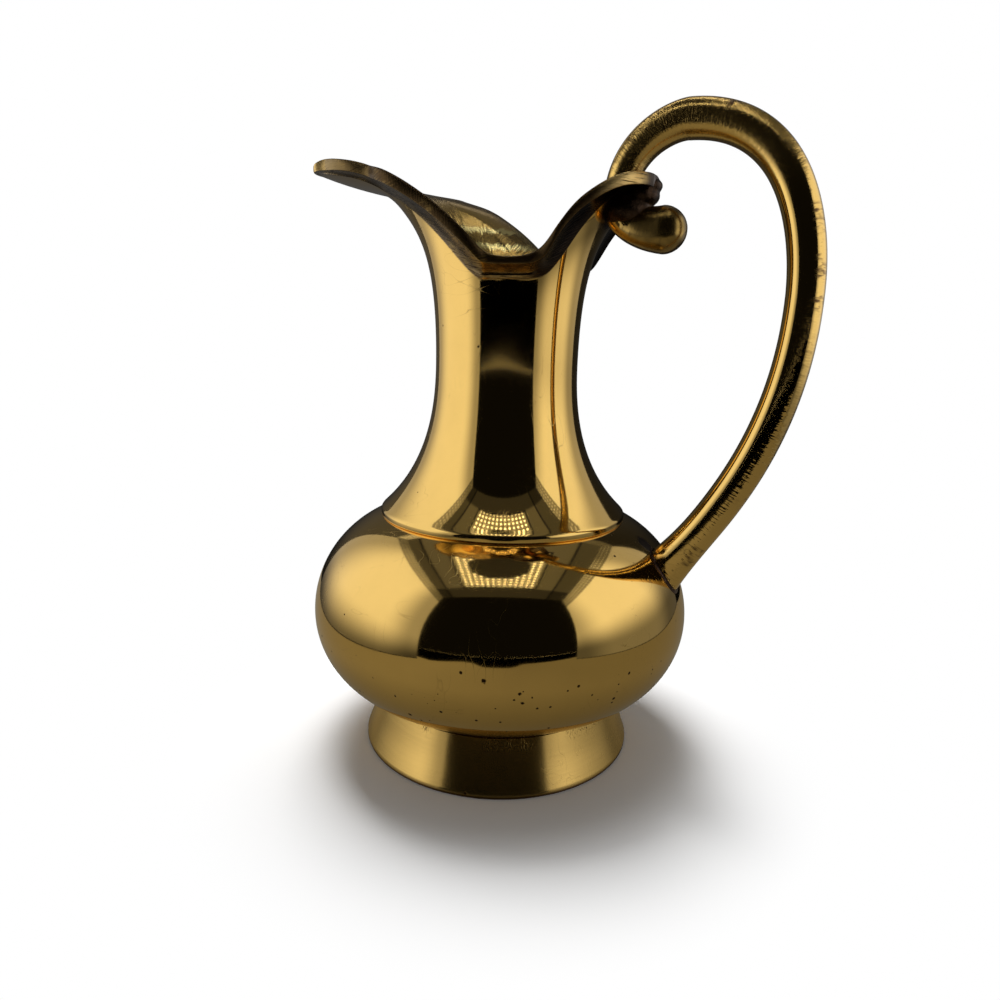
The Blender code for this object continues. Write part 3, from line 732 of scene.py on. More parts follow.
def foot_brass():
    tarnish = finish_settings().tarnish
    coat = brass_coat("foot brass", 0.20, scratches=0.8, pits=0.10, wave=0.15)
    coat.feed(coat.shader["Anisotropic"], 0.85)
    coat.feed(coat.shader["Anisotropic Rotation"], 0.25)
    level = coat.place["Z"]
    turning = coat.noise(1.0, 3.0, 0.6, coat.stretched((60.0, 60.0, 1400.0)))
    coat.layer(turning, height=0.03)
    coat.layer(level, height=-FOOT_LEAN)
    file_marks = coat.hair_lines(1500.0, 0.03, coat.stretched((1.0, 1.0, 0.35), (0.0, 0.5, 0.3)))
    patchy = coat.ramp(coat.noise(90.0, 1.0), 0.45, 0.6)
    top = coat.times(file_marks, coat.ramp(level, 0.0095, 0.0120), patchy)
    coat.layer(top, tone(tarnish, 0.5), 0.5, -0.03)
    # Darker along the bottom edge, where the foot meets the floor.
    coat.layer(coat.ramp(level, 0.0004, 0.0011, 1.0, 0.0), tone(tarnish, 1.2), 0.4)
    coat.join()


def bowl_brass():
    coat = brass_coat("bowl brass", finish_settings().polish, scratches=1.0, pits=0.09, wave=0.42)
    low = coat.ramp(coat.place["Z"], 0.026, 0.040, 0.85, 0.0)
    spots = coat.placed("Casting pits", Share=low, Scale=620.0, Size=0.18)["Mask"]
    coat.layer(spots, (0.07, 0.035, 0.012, 1.0), 0.5, -0.05)
    coat.pitted(BOWL_PITS)
    root = handle_curves()[-1][-1]
    coat.burnt(in_plane(root, -0.001, 0.0105), reach=0.0045, core=0.001)
    coat.join()


def neck_brass():
    finish = finish_settings()
    brass, tarnish = finish.brass, finish.tarnish
    coat = brass_coat("neck brass", finish.polish, scratches=0.8, pits=0.07, wave=0.42)
    coat.pitted(NECK_PITS)
    inside, under, cut = coat.mark("inside"), coat.mark("under"), coat.mark("cut")
    along, across = coat.mark("along"), coat.mark("across")
    height = coat.place["Z"]

    def strokes(along_scale, across_scale, roughness=0.6):
        """Noise drawn out along or across the lip."""
        way = coat.joined(coat.times(along, along_scale), coat.times(across, across_scale), 0.0)
        return coat.noise(1.0, 3.0, roughness, way)

    def band(start, full, end, gone):
        """A level band of painted reflection in the throat, with a brushed edge."""
        rise, fall = coat.ramp(throat, start, full), coat.ramp(throat, end, gone, 1.0, 0.0)
        return coat.times(inside, rise, fall)

    lines = strokes(260.0, 3200.0, 0.65)
    bristle = strokes(3000.0, 420.0)
    brushed = strokes(900.0, 60.0)
    patch = coat.noise(260.0, 3.0, 0.6)

    # Inside of the mouth
    coat.layer(inside, tone(brass, 0.72), 0.14)
    high = coat.times(inside, coat.ramp(height, 0.118, 0.130))
    coat.layer(coat.times(high, brushed), height=0.30)
    throat = coat.plus(height, coat.line(brushed, 0.0034, -0.0017))
    # Painted reflections in the throat: a bright band stands in for the lamp panel's highlight, and
    # a dark band for the panel's dark hole.
    coat.layer(band(*PAINTED_HIGHLIGHT_BAND), (0.98, 0.80, 0.32, 1.0), 0.10)
    coat.layer(band(*PAINTED_DARK_REFLECTION_BAND), tone(brass, 0.30), 0.20)

    # Under the lip
    mottled = coat.times(under, coat.ramp(patch, 0.30, 0.62, 0.45, 0.95))
    coat.layer(mottled, (0.22, 0.16, 0.10, 1.0), 0.22)
    # Painted shade: towards the back lobe the underside of the lip is darkened to near black,
    # standing in for the dark it mirrors there.
    coat.layer(coat.times(under, coat.mark("ear")), tone(tarnish, 0.30), 0.16)
    coat.layer(coat.times(under, coat.ramp(lines, 0.50, 0.62)), tone(tarnish, 0.55), 0.34)
    coat.layer(coat.times(under, lines), height=0.10)

    # The cut edge
    level = coat.line(patch, 0.7, coat.times(lines, 0.35))
    coat.layer(coat.times(cut, coat.ramp(level, 0.30, 0.50, 0.72, 1.0)), tone(tarnish, 0.65), 0.36)
    coat.layer(coat.times(cut, coat.ramp(lines, 0.42, 0.60)), tone(tarnish, 0.35), 0.42)
    # Worn, brushed metal on the edge at the spout tip and beside the lobe, painted lighter than the
    # brass: partly real wear, partly a painted highlight of the light it catches from above.
    worn_edge_highlight = coat.times(cut, coat.mark("worn"), coat.ramp(lines, 0.30, 0.50))
    coat.layer(worn_edge_highlight, (1.0, 0.70, 0.27, 1.0), 0.42, 0.10)
    tip = coat.times(cut, coat.ramp(along, 0.016, 0.026, 1.0, 0.0))
    coat.layer(coat.times(tip, along), height=SPOUT_LEAN)
    coat.layer(coat.times(cut, bristle), height=0.12)

    # Heat stain and grey solder at the back lobe, and a painted highlight on the lower edge of the
    # skirt
    coat.burnt(in_plane(knee(), 0.0025, 0.0015), reach=0.0125, core=0.0050)
    lobe_way, lobe_width, lobe_height = BACK_CUT[-1][1:]
    lobe = Flare().profile(lobe_way)[0]
    nose = coat.near(in_plane(lobe, lobe_width, lobe_height / 2), 0.0048, 0.0016)
    nose = coat.ramp(coat.line(patch, 0.8, nose), 0.75, 1.15)
    coat.layer(nose, tone(finish.solder), 0.34, 0.10)
    # Painted highlight: the skirt's rounded lower edge is painted lighter than the brass.
    coat.layer(coat.mark("arris"), tone(brass, 1.05), 0.20)
    coat.join()


def handle_brass():
    finish = finish_settings()
    coat = brass_coat("handle brass", finish.polish + 0.03, scratches=0.5, pits=0.08, wave=0.35)
    along, side, face = coat.mark("along"), coat.mark("side"), coat.mark("face")
    height = coat.place["Z"]
    way = coat.joined(coat.times(along, 1150.0), side, face)
    ripples = coat.noise(1.0, 2.0, 0.6, way)
    way = coat.joined(coat.times(along, 330.0), coat.times(side, 0.7), coat.times(face, 0.7))
    beaten = coat.noise(1.0, 1.0, 0.5, way)
    way = coat.joined(coat.times(along, 3600.0), coat.times(side, 3.0), face)
    hatching = coat.noise(1.0, 2.0, 0.6, way)
    lower = coat.ramp(height, 0.070, 0.098, 1.1, 0.22)
    arch = coat.ramp(height, 0.128, 0.142, 0.0, 0.5)
    outer = coat.ramp(side, -0.10, 0.40)
    coat.layer(coat.times(ripples, outer, coat.plus(lower, arch)), height=0.42)
    coat.layer(coat.times(beaten, outer), height=0.20)
    coat.layer(coat.times(hatching, arch), height=0.30)
    coat.layer(arch, roughness=0.30)
    worn = coat.ramp(coat.noise(150.0, 3.0, 0.6), 0.52, 0.70)
    worn = coat.times(worn, outer, coat.ramp(ripples, 0.45, 0.65))
    coat.layer(worn, tone(finish.tarnish, 1.4), 0.35)
    # Darker brass round the ball end, in patches.
    stain = coat.near(in_plane(handle_curves()[0][0], 0.001), 0.0105, 0.0065)
    stain = coat.times(stain, coat.ramp(coat.noise(230.0, 3.0, 0.6), 0.25, 0.60, 0.65, 1.0))
    coat.layer(stain, tone(finish.brass, 0.30), 0.27)
    hook = knee() + Vector((0.0, HOOK_RISE))
    coat.burnt(in_plane(hook, 0.001, 0.001), reach=0.0075, core=0.0035)
    coat.join()


def filler_metal(name, colour, roughness, lump=0.5):
    """Dull filler metal with a lumpy, stained surface."""
    coat = Coat(name, tone(colour), roughness)
    lumps = coat.noise(380.0, 3.0, 0.6)
    fine = coat.noise(1900.0, 3.0, 0.7)
    coat.layer(coat.ramp(lumps, 0.35, 0.65), tone(colour, 0.35), roughness + 0.1)
    coat.layer(coat.ramp(fine, 0.58, 0.75), tone(colour, 1.6), roughness)
    coat.layer(lumps, height=lump)
    coat.layer(fine, height=lump * 0.3)
    coat.join()


# Outlines of the pieces

def bowl_outline(grown, low_steps, high_steps):
    """Outer profile of the bowl, from the middle of its floor to its mouth, grown outwards."""
    belly = settings().belly_radius
    centre = belly - SHOULDER_ROUNDING
    mouth_turn = math.degrees(math.acos((BOWL_MOUTH_RADIUS - centre) / SHOULDER_ROUNDING))
    low = Vector((belly - BELLY_ROUNDING, belly_height()))
    high = Vector((centre, belly_height()))
    lower = arc(low, BELLY_ROUNDING + grown, BELLY_RISE + grown, -90.0, 0.0, low_steps)
    upper = arc(
        high, SHOULDER_ROUNDING + grown, SHOULDER_RISE + grown, 0.0, mouth_turn, high_steps)
    return [Vector((0.0, lower[0].y))] + lower + upper[1:]


class Flare:
    """The flare's outer surface, addressed by turn from the spout and way up from the waist."""

    def __init__(self):
        low = waist()
        bend = knee()
        tip = bend + Vector((FLARE_OUT, FLARE_RISE))
        bend_way = heading(KNEE_SLOPE)
        pull_up = low + Vector((0.0, WAIST_PULL_UP))
        self.points = bezier(low, pull_up, bend - bend_way * KNEE_PULL_DOWN, bend, FLARE_STEPS)
        pull_in = tip - heading(FLARE_SLOPE) * FLARE_PULL
        self.points += bezier(bend, bend + bend_way * KNEE_PULL_UP, pull_in, tip, FLARE_STEPS)
        self.points.append(tip)
        self.ways = lengths(self.points)

    def profile(self, way):
        """Radius and height, and the direction of travel, at a way up the flare."""
        way = min(max(way, 0.0), self.ways[-1] * 0.9999)
        high = bisect_right(self.ways, way)
        low = high - 1
        share = (way - self.ways[low]) / (self.ways[high] - self.ways[low])
        along = self.points[high] - self.points[low]
        return self.points[low] + along * share, along.normalized()

    def at(self, turn, way, depth=0.0):
        """A point on the flare, or at a depth under its outer surface."""
        point, along = self.profile(way)
        return turned(point + Vector((-along.y, along.x)) * depth, turn)

    def frame(self, turn, way):
        """Outward normal, and direction up the flare, at a point on it."""
        along = self.profile(way)[1]
        out = turned(Vector((1.0, 0.0)), turn)
        up = Vector((0.0, 0.0, 1.0))
        return out * along.y - up * along.x, out * along.x + up * along.y


def lengths(points):
    """How far each point lies along the line through all of them."""
    ways = [0.0]
    for point, behind in zip(points[1:], points):
        ways.append(ways[-1] + (point - behind).length)
    return ways


def cut_edge():
    """The cut edge all the way round: turns, ways up the flare, widths of lip and heights."""
    sizes = settings()
    near_half = []
    for turn, way, width, height in through(SPOUT_CUT + BACK_CUT, CUT_STEPS):
        near_half.append((turn, way, width * sizes.lip_width, height * sizes.lip_edge))
    return near_half + [(360.0 - turn, *rest) for turn, *rest in near_half[-2:0:-1]]


def ledge_share(turn):
    """How much of the ledge stands out at a turn from the spout."""
    turn = min(turn, 360.0 - turn)
    rise, full, end, gone = LEDGE_TURNS
    return max(0.0, min(1.0, (turn - rise) / (full - rise), (gone - turn) / (gone - end)))


def lip_directions(flare, edge):
    """Directions of the lip, halfway between along the flare and level, and level at the lobe."""
    count = len(edge)
    reach = CUT_STEPS // 2
    creases = [flare.at(turn, way) for turn, way, *sizes in edge]
    directions = []
    for index, (turn, way, *sizes) in enumerate(edge):
        along = (creases[(index + reach) % count] - creases[index - reach]).normalized()
        over = flare.frame(turn, way)[0].cross(along)
        plan = Vector((along.y, -along.x, 0.0)).normalized()
        if plan.dot(creases[index]) < 0.0 and plan.dot(Vector((over.x, over.y, 0.0))) <= 0.0:
            plan = -plan
        if over.dot(plan) + over.z < 0.0:
            over = -over
        direction = (over + plan).normalized()
        direction.z *= 1.0 - max(0.0, 1.0 - abs(turn - 180.0) / LOBE_TURN)
        directions.append(direction.normalized())
    for _ in range(3 * reach * reach):
        blended = []
        for index in range(count):
            pair = directions[index - 1] + directions[(index + 1) % count]
            blended.append((directions[index] * 2 + pair).normalized())
        directions = blended
    return directions


def lip_section(flare, cut, out, inner):
    """Points of one section of the lip: under it, up its cut edge and over into the mouth."""
    turn, way, width, height = cut
    normal, up_flare = flare.frame(turn, way)
    crease = flare.at(turn, way)
    rim = crease + out * (width - EDGE_CROWN * 1.05)
    top = rim + Vector((0.0, 0.0, height))
    up = Vector((0.0, 0.0, 1.0))
    stand = LEDGE_STAND * ledge_share(turn)
    points = []
    for share, proud in LEDGE_OUTLINE:
        sag = LIP_SAG * 4.0 * share * (1.0 - share)
        points.append(crease.lerp(rim, share) + normal * (stand * proud - sag))
    rounding = min(ARRIS_ROUNDING, height * 0.38, width * 0.3)
    inward = (points[-1] - rim).normalized() * rounding * 0.8
    points += rounded(rim + inward, rim, rim + up * rounding, EDGE_STEPS)
    for share in (0.25, 0.5, 0.75):
        crown = out * (EDGE_CROWN * 4.0 * share * (1.0 - share))
        points.append(rim.lerp(top, share) + crown)
    level_in = Vector((out.x, out.y, 0.0)).normalized() * -LIP_ROUNDING
    pulls = (top, top + level_in, inner + up_flare * LIP_ROUNDING, inner)
    start = rounding / (3.0 * LIP_ROUNDING)
    points += rounded(top - up * rounding, top, cubic(*pulls, start), EDGE_STEPS)
    for step in range(1, ROLL_STEPS):
        points.append(cubic(*pulls, start + (1.0 - start) * step / ROLL_STEPS))
    return points


def handle_curves():
    """The curves of the bar's centre line in the XZ plane, from the ball to the shoulder."""
    up = Vector((0.0, 1.0))
    out = Vector((1.0, 0.0))
    ball = knee() + Vector((BALL_OUT, -BALL_DROP))
    hook = knee() + Vector((0.0, HOOK_RISE))
    arch = knee() + Vector((ARCH_OUT, ARCH_RISE))
    back = Vector((settings().belly_radius + BACK_CLEARANCE, arch.y - BACK_DROP))
    root_height = skirt_seat() - ROOT_DROP
    root = Vector((bowl_radius(root_height) - ROOT_IN, root_height))
    return (
        (ball, ball - out * BALL_PULL, hook - up * HOOK_PULL_DOWN, hook),
        (hook, hook + up * HOOK_PULL_UP, arch - out * ARCH_PULL_IN, arch),
        (arch, arch + out * ARCH_PULL_OUT, back + up * BACK_PULL_UP, back),
        (back, back - up * BACK_PULL_DOWN, root + heading(ROOT_SLOPE) * ROOT_PULL, root),
    )


def handle_sections():
    """Centre, direction, half depth and half width of the bar, ring by ring."""
    bar_width = settings().bar_half_width
    path = []
    halves = []
    depths = zip(HALF_DEPTHS, HALF_DEPTHS[1:])
    for curve, count, (first, second) in zip(handle_curves(), SECTION_STEPS, depths):
        path += bezier(*curve, count)
        halves += [first + (second - first) * index / count for index in range(count)]
    path.append(handle_curves()[-1][-1])
    halves.append(HALF_DEPTHS[-1])
    for index in range(ROOT_FLARE_STEPS + 1):
        share = index / ROOT_FLARE_STEPS
        halves[index - ROOT_FLARE_STEPS - 1] += (ROOT_HALF_DEPTH - HALF_DEPTHS[-1]) * share ** 2
    sections = []
    for index, point in enumerate(path):
        along = (path[min(index + 1, len(path) - 1)] - path[max(index - 1, 0)]).normalized()
        swell = max(0.0, 1.0 - 2.0 * index / SECTION_STEPS[0])
        width = bar_width + (BALL_HALF_WIDTH - bar_width) * swell
        sections.append((point, along, halves[index], width))
    point, along = sections[0][:2]
    cap = []
    for index in range(1, CAP_STEPS + 1):
        angle = math.radians(90.0 * index / (CAP_STEPS + 1))
        swell = math.sin(angle)
        centre = point - along * (BALL_RADIUS * math.cos(angle))
        cap.append((centre, along, BALL_RADIUS * swell, BALL_HALF_WIDTH * swell ** 0.8))
    return cap + sections


def section_ring(section, grown):
    """The ring of points of one section of the bar, an oval with fuller corners."""
    point, along, half_depth, half_width = section
    across = Vector((-along.y, along.x))
    ring = []
    for index in range(BAR_SIDES):
        angle = math.tau * index / BAR_SIDES
        depth, width = (
            (half + grown) * math.copysign(abs(part) ** (2.0 / BAR_SQUARENESS), part)
            for half, part in ((half_depth, math.cos(angle)), (half_width, math.sin(angle))))
        centre = point + across * depth
        ring.append(Vector((centre.x, width, centre.y)))
    return ring


def on_bowl(point, lift):
    """A point moved out or in from the axis to stand over the bowl's surface."""
    flat = Vector((point.x, point.y, 0.0)).normalized()
    return flat * (bowl_radius(point.z) + lift) + Vector((0.0, 0.0, point.z))


def bowl_normal(point):
    """Direction that the bowl's surface faces at a point on it."""
    slope = (bowl_radius(point.z + GAP) - bowl_radius(point.z - GAP)) / (2 * GAP)
    flat = Vector((point.x, point.y, 0.0)).normalized()
    return (flat - Vector((0.0, 0.0, slope))).normalized()


# Operators, one for each piece or group of like pieces

class PITCHER_OT_metals(bpy.types.Operator):
    """Make the node groups and the materials of brass, braze and solder"""

    bl_idname = "pitcher.metals"
    bl_label = "Metals"

    def execute(self, context):
        for make in (scratch_group, pit_group, polish_group):
            make()
        for make in (foot_brass, bowl_brass, neck_brass, handle_brass):
            make()
        filler_metal("braze", (0.10, 0.055, 0.025), 0.40)
        filler_metal("solder", (0.075, 0.045, 0.028), 0.30, 0.8)
        filler_metal("seam", (0.13, 0.075, 0.055), 0.35)
        return {"FINISHED"}


class PITCHER_OT_foot(bpy.types.Operator):
    """Turn the flared foot ring"""

    bl_idname = "pitcher.foot"
    bl_label = "Foot"

    def execute(self, context):
        sizes = settings()
        radius, wall = sizes.foot_radius, sizes.foot_wall
        top = Vector((sizes.foot_top_radius, sizes.foot_height))
        edge = Vector((radius, FOOT_EDGE))
        middle = (top + edge) / 2 - Vector((FOOT_HOLLOW, 0.0))
        outside = bezier(top, middle, middle, edge, WALL_STEPS) + [edge]
        inside = [point - Vector((wall, 0.0)) for point in outside]
        low = ((radius, FOOT_CORNER), (radius - FOOT_CORNER, 0.0), (radius - wall, 0.0))
        profile = outside + [Vector(point) for point in low] + inside[::-1]
        finished("foot", spun(profile, sizes.turn_steps), "foot brass", "foot_ring")
        return {"FINISHED"}


class PITCHER_OT_bowl(bpy.types.Operator):
    """Turn the round bowl with its shoulder"""

    bl_idname = "pitcher.bowl"
    bl_label = "Bowl"

    def execute(self, context):
        sizes = settings()
        profile = bowl_outline(0.0, 48, 48) + bowl_outline(-sizes.bowl_wall, 24, 24)[::-1]
        finished("bowl", spun(profile, sizes.turn_steps), "bowl brass", "body_bowl")
        return {"FINISHED"}


class PITCHER_OT_neck(bpy.types.Operator):
    """Shape the neck, its skirt, and the mouth cut to a spout and a back lobe"""

    bl_idname = "pitcher.neck"
    bl_label = "Neck and mouth"

    def execute(self, context):
        self.flare = Flare()
        self.edge = cut_edge()
        count = len(self.edge)
        self.turns = [360.0 * index / count for index in range(count)]
        self.rings = []
        self.marks = {key: [] for key in ("inside", "under", "cut", "arris")}
        sizes = settings()
        seat = skirt_seat()
        skirt = Vector((sizes.skirt_radius, seat + SKIRT_EDGE))
        pull = skirt + heading(180.0 - SKIRT_SLOPE) * SKIRT_PULL
        pull_down = waist() - Vector((0.0, WAIST_PULL_DOWN))
        lower = bezier(skirt, pull, pull_down, waist(), 60)
        self.outside(skirt, lower)
        self.lip(sizes.neck_wall)
        self.bore(offset(lower + [waist()], -sizes.neck_wall))
        foot = Vector((sizes.skirt_radius, shoulder_height(sizes.skirt_radius) + SNUG))
        tuck = foot - Vector((SKIRT_ROUNDING, 0.0))
        tuck.y = shoulder_height(tuck.x) + SNUG
        # The skirt's rounded lower edge, marked for its painted highlight.
        for point in rounded(tuck, foot, foot + Vector((0.0, SKIRT_ROUNDING)), 5):
            self.level(point, arris=1.0)
        self.marks.update(self.lip_marks())
        piece = finished(
            "neck_and_mouth", rolled(self.rings, True, self.marks), "neck brass",
            "neck")
        cut_by(piece, self.bar_hole())
        return {"FINISHED"}

    def add(self, ring, **given):
        """Add a ring to the neck, with its marks."""
        self.rings.append(ring)
        for key, rows in self.marks.items():
            rows.append([given.get(key, 0.0)] * len(ring))

    def level(self, point, **given):
        """Add a level ring through a radius and height."""
        self.add([turned(point, turn) for turn in self.turns], **given)

    def leaning(self, share, depth):
        """A ring on the flare or under it, level at the waist and on the cut edge's line at 1."""
        ring = []
        for turn, (cut_turn, cut_way, *rest) in zip(self.turns, self.edge):
            lean = turn + (cut_turn - turn) * share ** 1.5
            ring.append(self.flare.at(lean, cut_way * share, depth))
        return ring

    def outside(self, skirt, lower):
        """From the skirt's edge up to the waist."""
        inset = next(i for i, point in enumerate(lower) if (point - skirt).length > SKIRT_ROUNDING)
        start = skirt - Vector((0.0, SKIRT_ROUNDING))
        for point in rounded(start, skirt, lower[inset], 5) + lower[inset + 1:]:
            self.level(point)

    def lip(self, wall):
        """Up the flare, round the lip and down again inside."""
        steps = range(WALL_STEPS + 1)
        shares = [1.0 - (1.0 - index / WALL_STEPS) ** 1.25 for index in steps]
        for share in shares:
            self.add(self.leaning(share, 0.0), under=max(0.0, (share - 0.985) / 0.015))
        directions = lip_directions(self.flare, self.edge)
        sections = []
        for cut, out, inner in zip(self.edge, directions, self.leaning(1.0, wall)):
            sections.append(lip_section(self.flare, cut, out, inner))
        under_rings = len(LEDGE_OUTLINE) + EDGE_STEPS // 2
        cut_rings = under_rings + 2 * EDGE_STEPS + 1
        for index, ring in enumerate(zip(*sections)):
            past = index - cut_rings
            below = index < under_rings
            self.add(
                list(ring), under=float(below), inside=max(0.0, min(1.0, past / 4)),
                cut=0.0 if below else min(1.0, max(0.0, 1.0 - past / 5)))
        for share in shares[:0:-1]:
            self.add(self.leaning(share, wall), inside=1.0)

    def bore(self, profile):
        """Down inside the neck to the seats on the bowl and on the ring of braze."""
        sizes = settings()
        seat_inner = sizes.skirt_radius - BRAZE_SEAT_INSET
        seat_outer = seat_inner + BRAZE_SEAT_WIDTH
        bore_limit = seat_inner - sizes.neck_wall / 2
        for point in [point for point in profile if point.x < bore_limit][::-2]:
            self.level(point, inside=1.0)
        groove = GAP + BRAZE_THICKNESS + GAP
        for radius, lift in (
            (BOWL_MOUTH_RADIUS + GAP, GAP),
            (seat_inner, GAP),
            (seat_inner, groove),
            ((seat_inner + seat_outer) / 2, groove),
            (seat_outer, groove),
            (seat_outer, GAP),
        ):
            self.level(Vector((radius, shoulder_height(radius) + lift)), cut=0.5)

    def lip_marks(self):
        """How far each vertex lies along the mouth and across its lip, where its edge is worn and
        painted with a highlight, and how near it lies to the back lobe, where painted shade darkens
        the underside.
        """
        creases = [self.flare.at(turn, way) for turn, way, *sizes in self.edge]
        ways = lengths(creases[:len(creases) // 2 + 1])
        ways += ways[-2:0:-1]
        across = [[0.0] * len(self.edge)]
        for ring, behind in zip(self.rings[1:], self.rings):
            steps = [(point - other).length for point, other in zip(ring, behind)]
            across.append([way + step for way, step in zip(across[-1], steps)])
        worn = []
        ear = []
        for turn, *rest in self.edge:
            from_lobe = abs(turn - 180.0)
            # How near the back lobe each column lies, for the painted shade under the lip.
            ear.append(max(0.0, 1.0 - max(0.0, from_lobe - 48.0) / 14.0))
            spout = max(0.0, 1.0 - min(turn, 360.0 - turn) / 34.0)
            lobe = max(0.0, 1.0 - abs(from_lobe - 13.0) / 7.0)
            # Worn spots of the edge near the spout and by the lobe, where the painted highlight
            # goes.
            worn.append(min(1.0, 2.2 * spout + 1.3 * lobe + 0.04))
        same = {"along": ways, "worn": worn, "ear": ear}
        return {"across": across, **{key: [row] * len(self.rings) for key, row in same.items()}}

    def bar_hole(self):
        """The hole for the bar through the back lobe."""
        middle = CAP_STEPS + SECTION_STEPS[0]
        sections = handle_sections()[middle - 8:middle + 20]
        rings = [section_ring(section, SNUG) for section in sections]
        return finished("hole", rolled(rings, False), "neck brass")


class PITCHER_OT_handle(bpy.types.Operator):
    """Sweep the handle's bar from its ball end to its root on the shoulder"""

    bl_idname = "pitcher.handle"
    bl_label = "Handle"

    def execute(self, context):
        sections = handle_sections()
        rings = [section_ring(section, -BAR_INSET) for section in sections]
        angles = [math.tau * index / BAR_SIDES for index in range(BAR_SIDES)]
        ways = lengths([section[0] for section in sections])
        marks = {
            "along": [[way] * BAR_SIDES for way in ways],
            "side": [[math.cos(angle) for angle in angles]] * len(rings),
            "face": [[math.sin(angle) for angle in angles]] * len(rings),
        }
        builder = rolled(rings, False, marks)
        piece = finished("handle_bar", builder, "handle brass", "handle")
        outline = bowl_outline(SNUG, 60, 60)
        outline.append(Vector((0.0, outline[-1].y)))
        cut_by(piece, finished("bowl_form", spun(outline, 128), "handle brass"))
        return {"FINISHED"}


class PITCHER_OT_joints(bpy.types.Operator):
    """Make the solder at the handle's joints and give the braze its finish"""

    bl_idname = "pitcher.joints"
    bl_label = "Brazed and soldered joints"

    def execute(self, context):
        for node in ("foot_braze", "neck_braze"):
            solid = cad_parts[node]
            for slot in solid.material_slots:
                slot.material = bpy.data.materials["braze"]
            if not solid.material_slots:
                solid.data.materials.append(bpy.data.materials["braze"])
        self.top_solder()
        self.root_fillet()
        return {"FINISHED"}

    def top_solder(self):
        """Lumps of solder run together under the back lobe."""
        builder = bmesh.new()
        bend = knee()
        for (out, rise), size in SOLDER_BALLS:
            place = Matrix.Translation((bend.x + out, 0.0, bend.y + rise))
            bmesh.ops.create_uvsphere(
                builder, u_segments=48, v_segments=24, radius=1.0,
                matrix=place @ Matrix.Diagonal((*size, 1.0)))
        piece = finished("top_solder", builder, "solder", "handle_top_solder")
        merge = piece.modifiers.new("Run together", "REMESH")
        merge.mode = "VOXEL"
        merge.voxel_size = SOLDER_GRAIN
        applied(piece, 180.0)
        soft = bmesh.new()
        soft.from_mesh(piece.data)
        for _ in range(5):
            bmesh.ops.smooth_vert(
                soft, verts=soft.verts, factor=0.5, use_axis_x=True, use_axis_y=True,
                use_axis_z=True)
        soft.normal_update()
        for vert in soft.verts:
            vert.co += vert.normal * SOLDER_GRAIN * noise.noise(vert.co * 420.0)
        soft.to_mesh(piece.data)
        soft.free()
        outline = offset(Flare().points[::3], -SOLDER_SINK)
        ends = [Vector((0.0, outline[index].y)) for index in (0, -1)]
        profile = ends[:1] + outline + ends[1:]
        cut_by(piece, finished("flare_form", spun(profile, 96), "solder"), 60.0)

    def root_fillet(self):
        """The thin seam of solder round the handle's root."""
        rings = [section_ring(section, SNUG) for section in handle_sections()]
        crossings = [self.crossing(rings, side) for side in range(BAR_SIDES)]
        centre = crossings[0][0].lerp(crossings[BAR_SIDES // 2][0], 0.5)
        corners, toes, middles, legs = [], [], [], []
        full = FILLET_LEG * FILLET_FULLNESS
        for corner, step in crossings:
            normal = bowl_normal(corner)
            away = corner - centre
            away = (away - normal * away.dot(normal)).normalized()
            corners.append(on_bowl(corner, -GAP))
            toes.append(on_bowl(corner + away * FILLET_LEG, SNUG))
            middles.append(on_bowl(corner + away * full, full))
            legs.append(corner + step * FILLET_LEG + away * SNUG)
        finished(
            "root_fillet", rolled([corners, toes, middles, legs], True), "seam",
            "handle_root_solder", 60.0)

    def crossing(self, rings, side):
        """Where one side line of the bar meets the bowl, and the way back up the bar from there."""
        line = [ring[side] for ring in rings]

        def outside(point):
            return math.hypot(point.x, point.y) > bowl_radius(point.z)

        low, high = len(line) // 2, len(line) - 1
        while high - low > 1:
            middle = (low + high) // 2
            low, high = (middle, high) if outside(line[middle]) else (low, middle)
        first, second = line[low], line[high]
        for _ in range(20):
            half = first.lerp(second, 0.5)
            first, second = (half, second) if outside(half) else (first, half)
        return first, (line[low] - line[high]).normalized()


# The light tent

def stood(name, builder, material):
    """Stand a part of the tent round the pitcher, square to the camera and seen only in it."""
    piece = as_object(name, builder, material)
    turn = Matrix.Rotation(math.radians(CAMERA_TURN), 4, "Z")
    piece.matrix_world = Matrix.Translation((AXIS_X, 0.0, 0.0)) @ turn
    piece.visible_camera = False
    piece.visible_shadow = False
    piece.visible_diffuse = False


def card(name, corners, material):
    """A flat card of the tent."""
    builder = bmesh.new()
    builder.faces.new([builder.verts.new(corner) for corner in corners])
    stood(name, builder, material)


def bare_material(name):
    """A material without nodes, and the graph to make them in."""
    material = bpy.data.materials.new(name)
    material.use_nodes = True
    material.node_tree.nodes.clear()
    return material, Graph(material.node_tree)


def glow(graph, strength, tint=WHITE):
    """End a material in emission."""
    graph.surface(graph.add("Emission", {"Strength": strength, "Color": tint})[0])


def lamp_dots(graph, first, second):
    """A square grid of round bright spots, from 0 to 1."""
    spots = []
    for way in (first, second):
        wave = graph.maths("COSINE", graph.times(way, math.tau / LAMP_PITCH))
        spots.append(graph.ramp(wave, 0.0, 0.95))
    return graph.times(*spots)


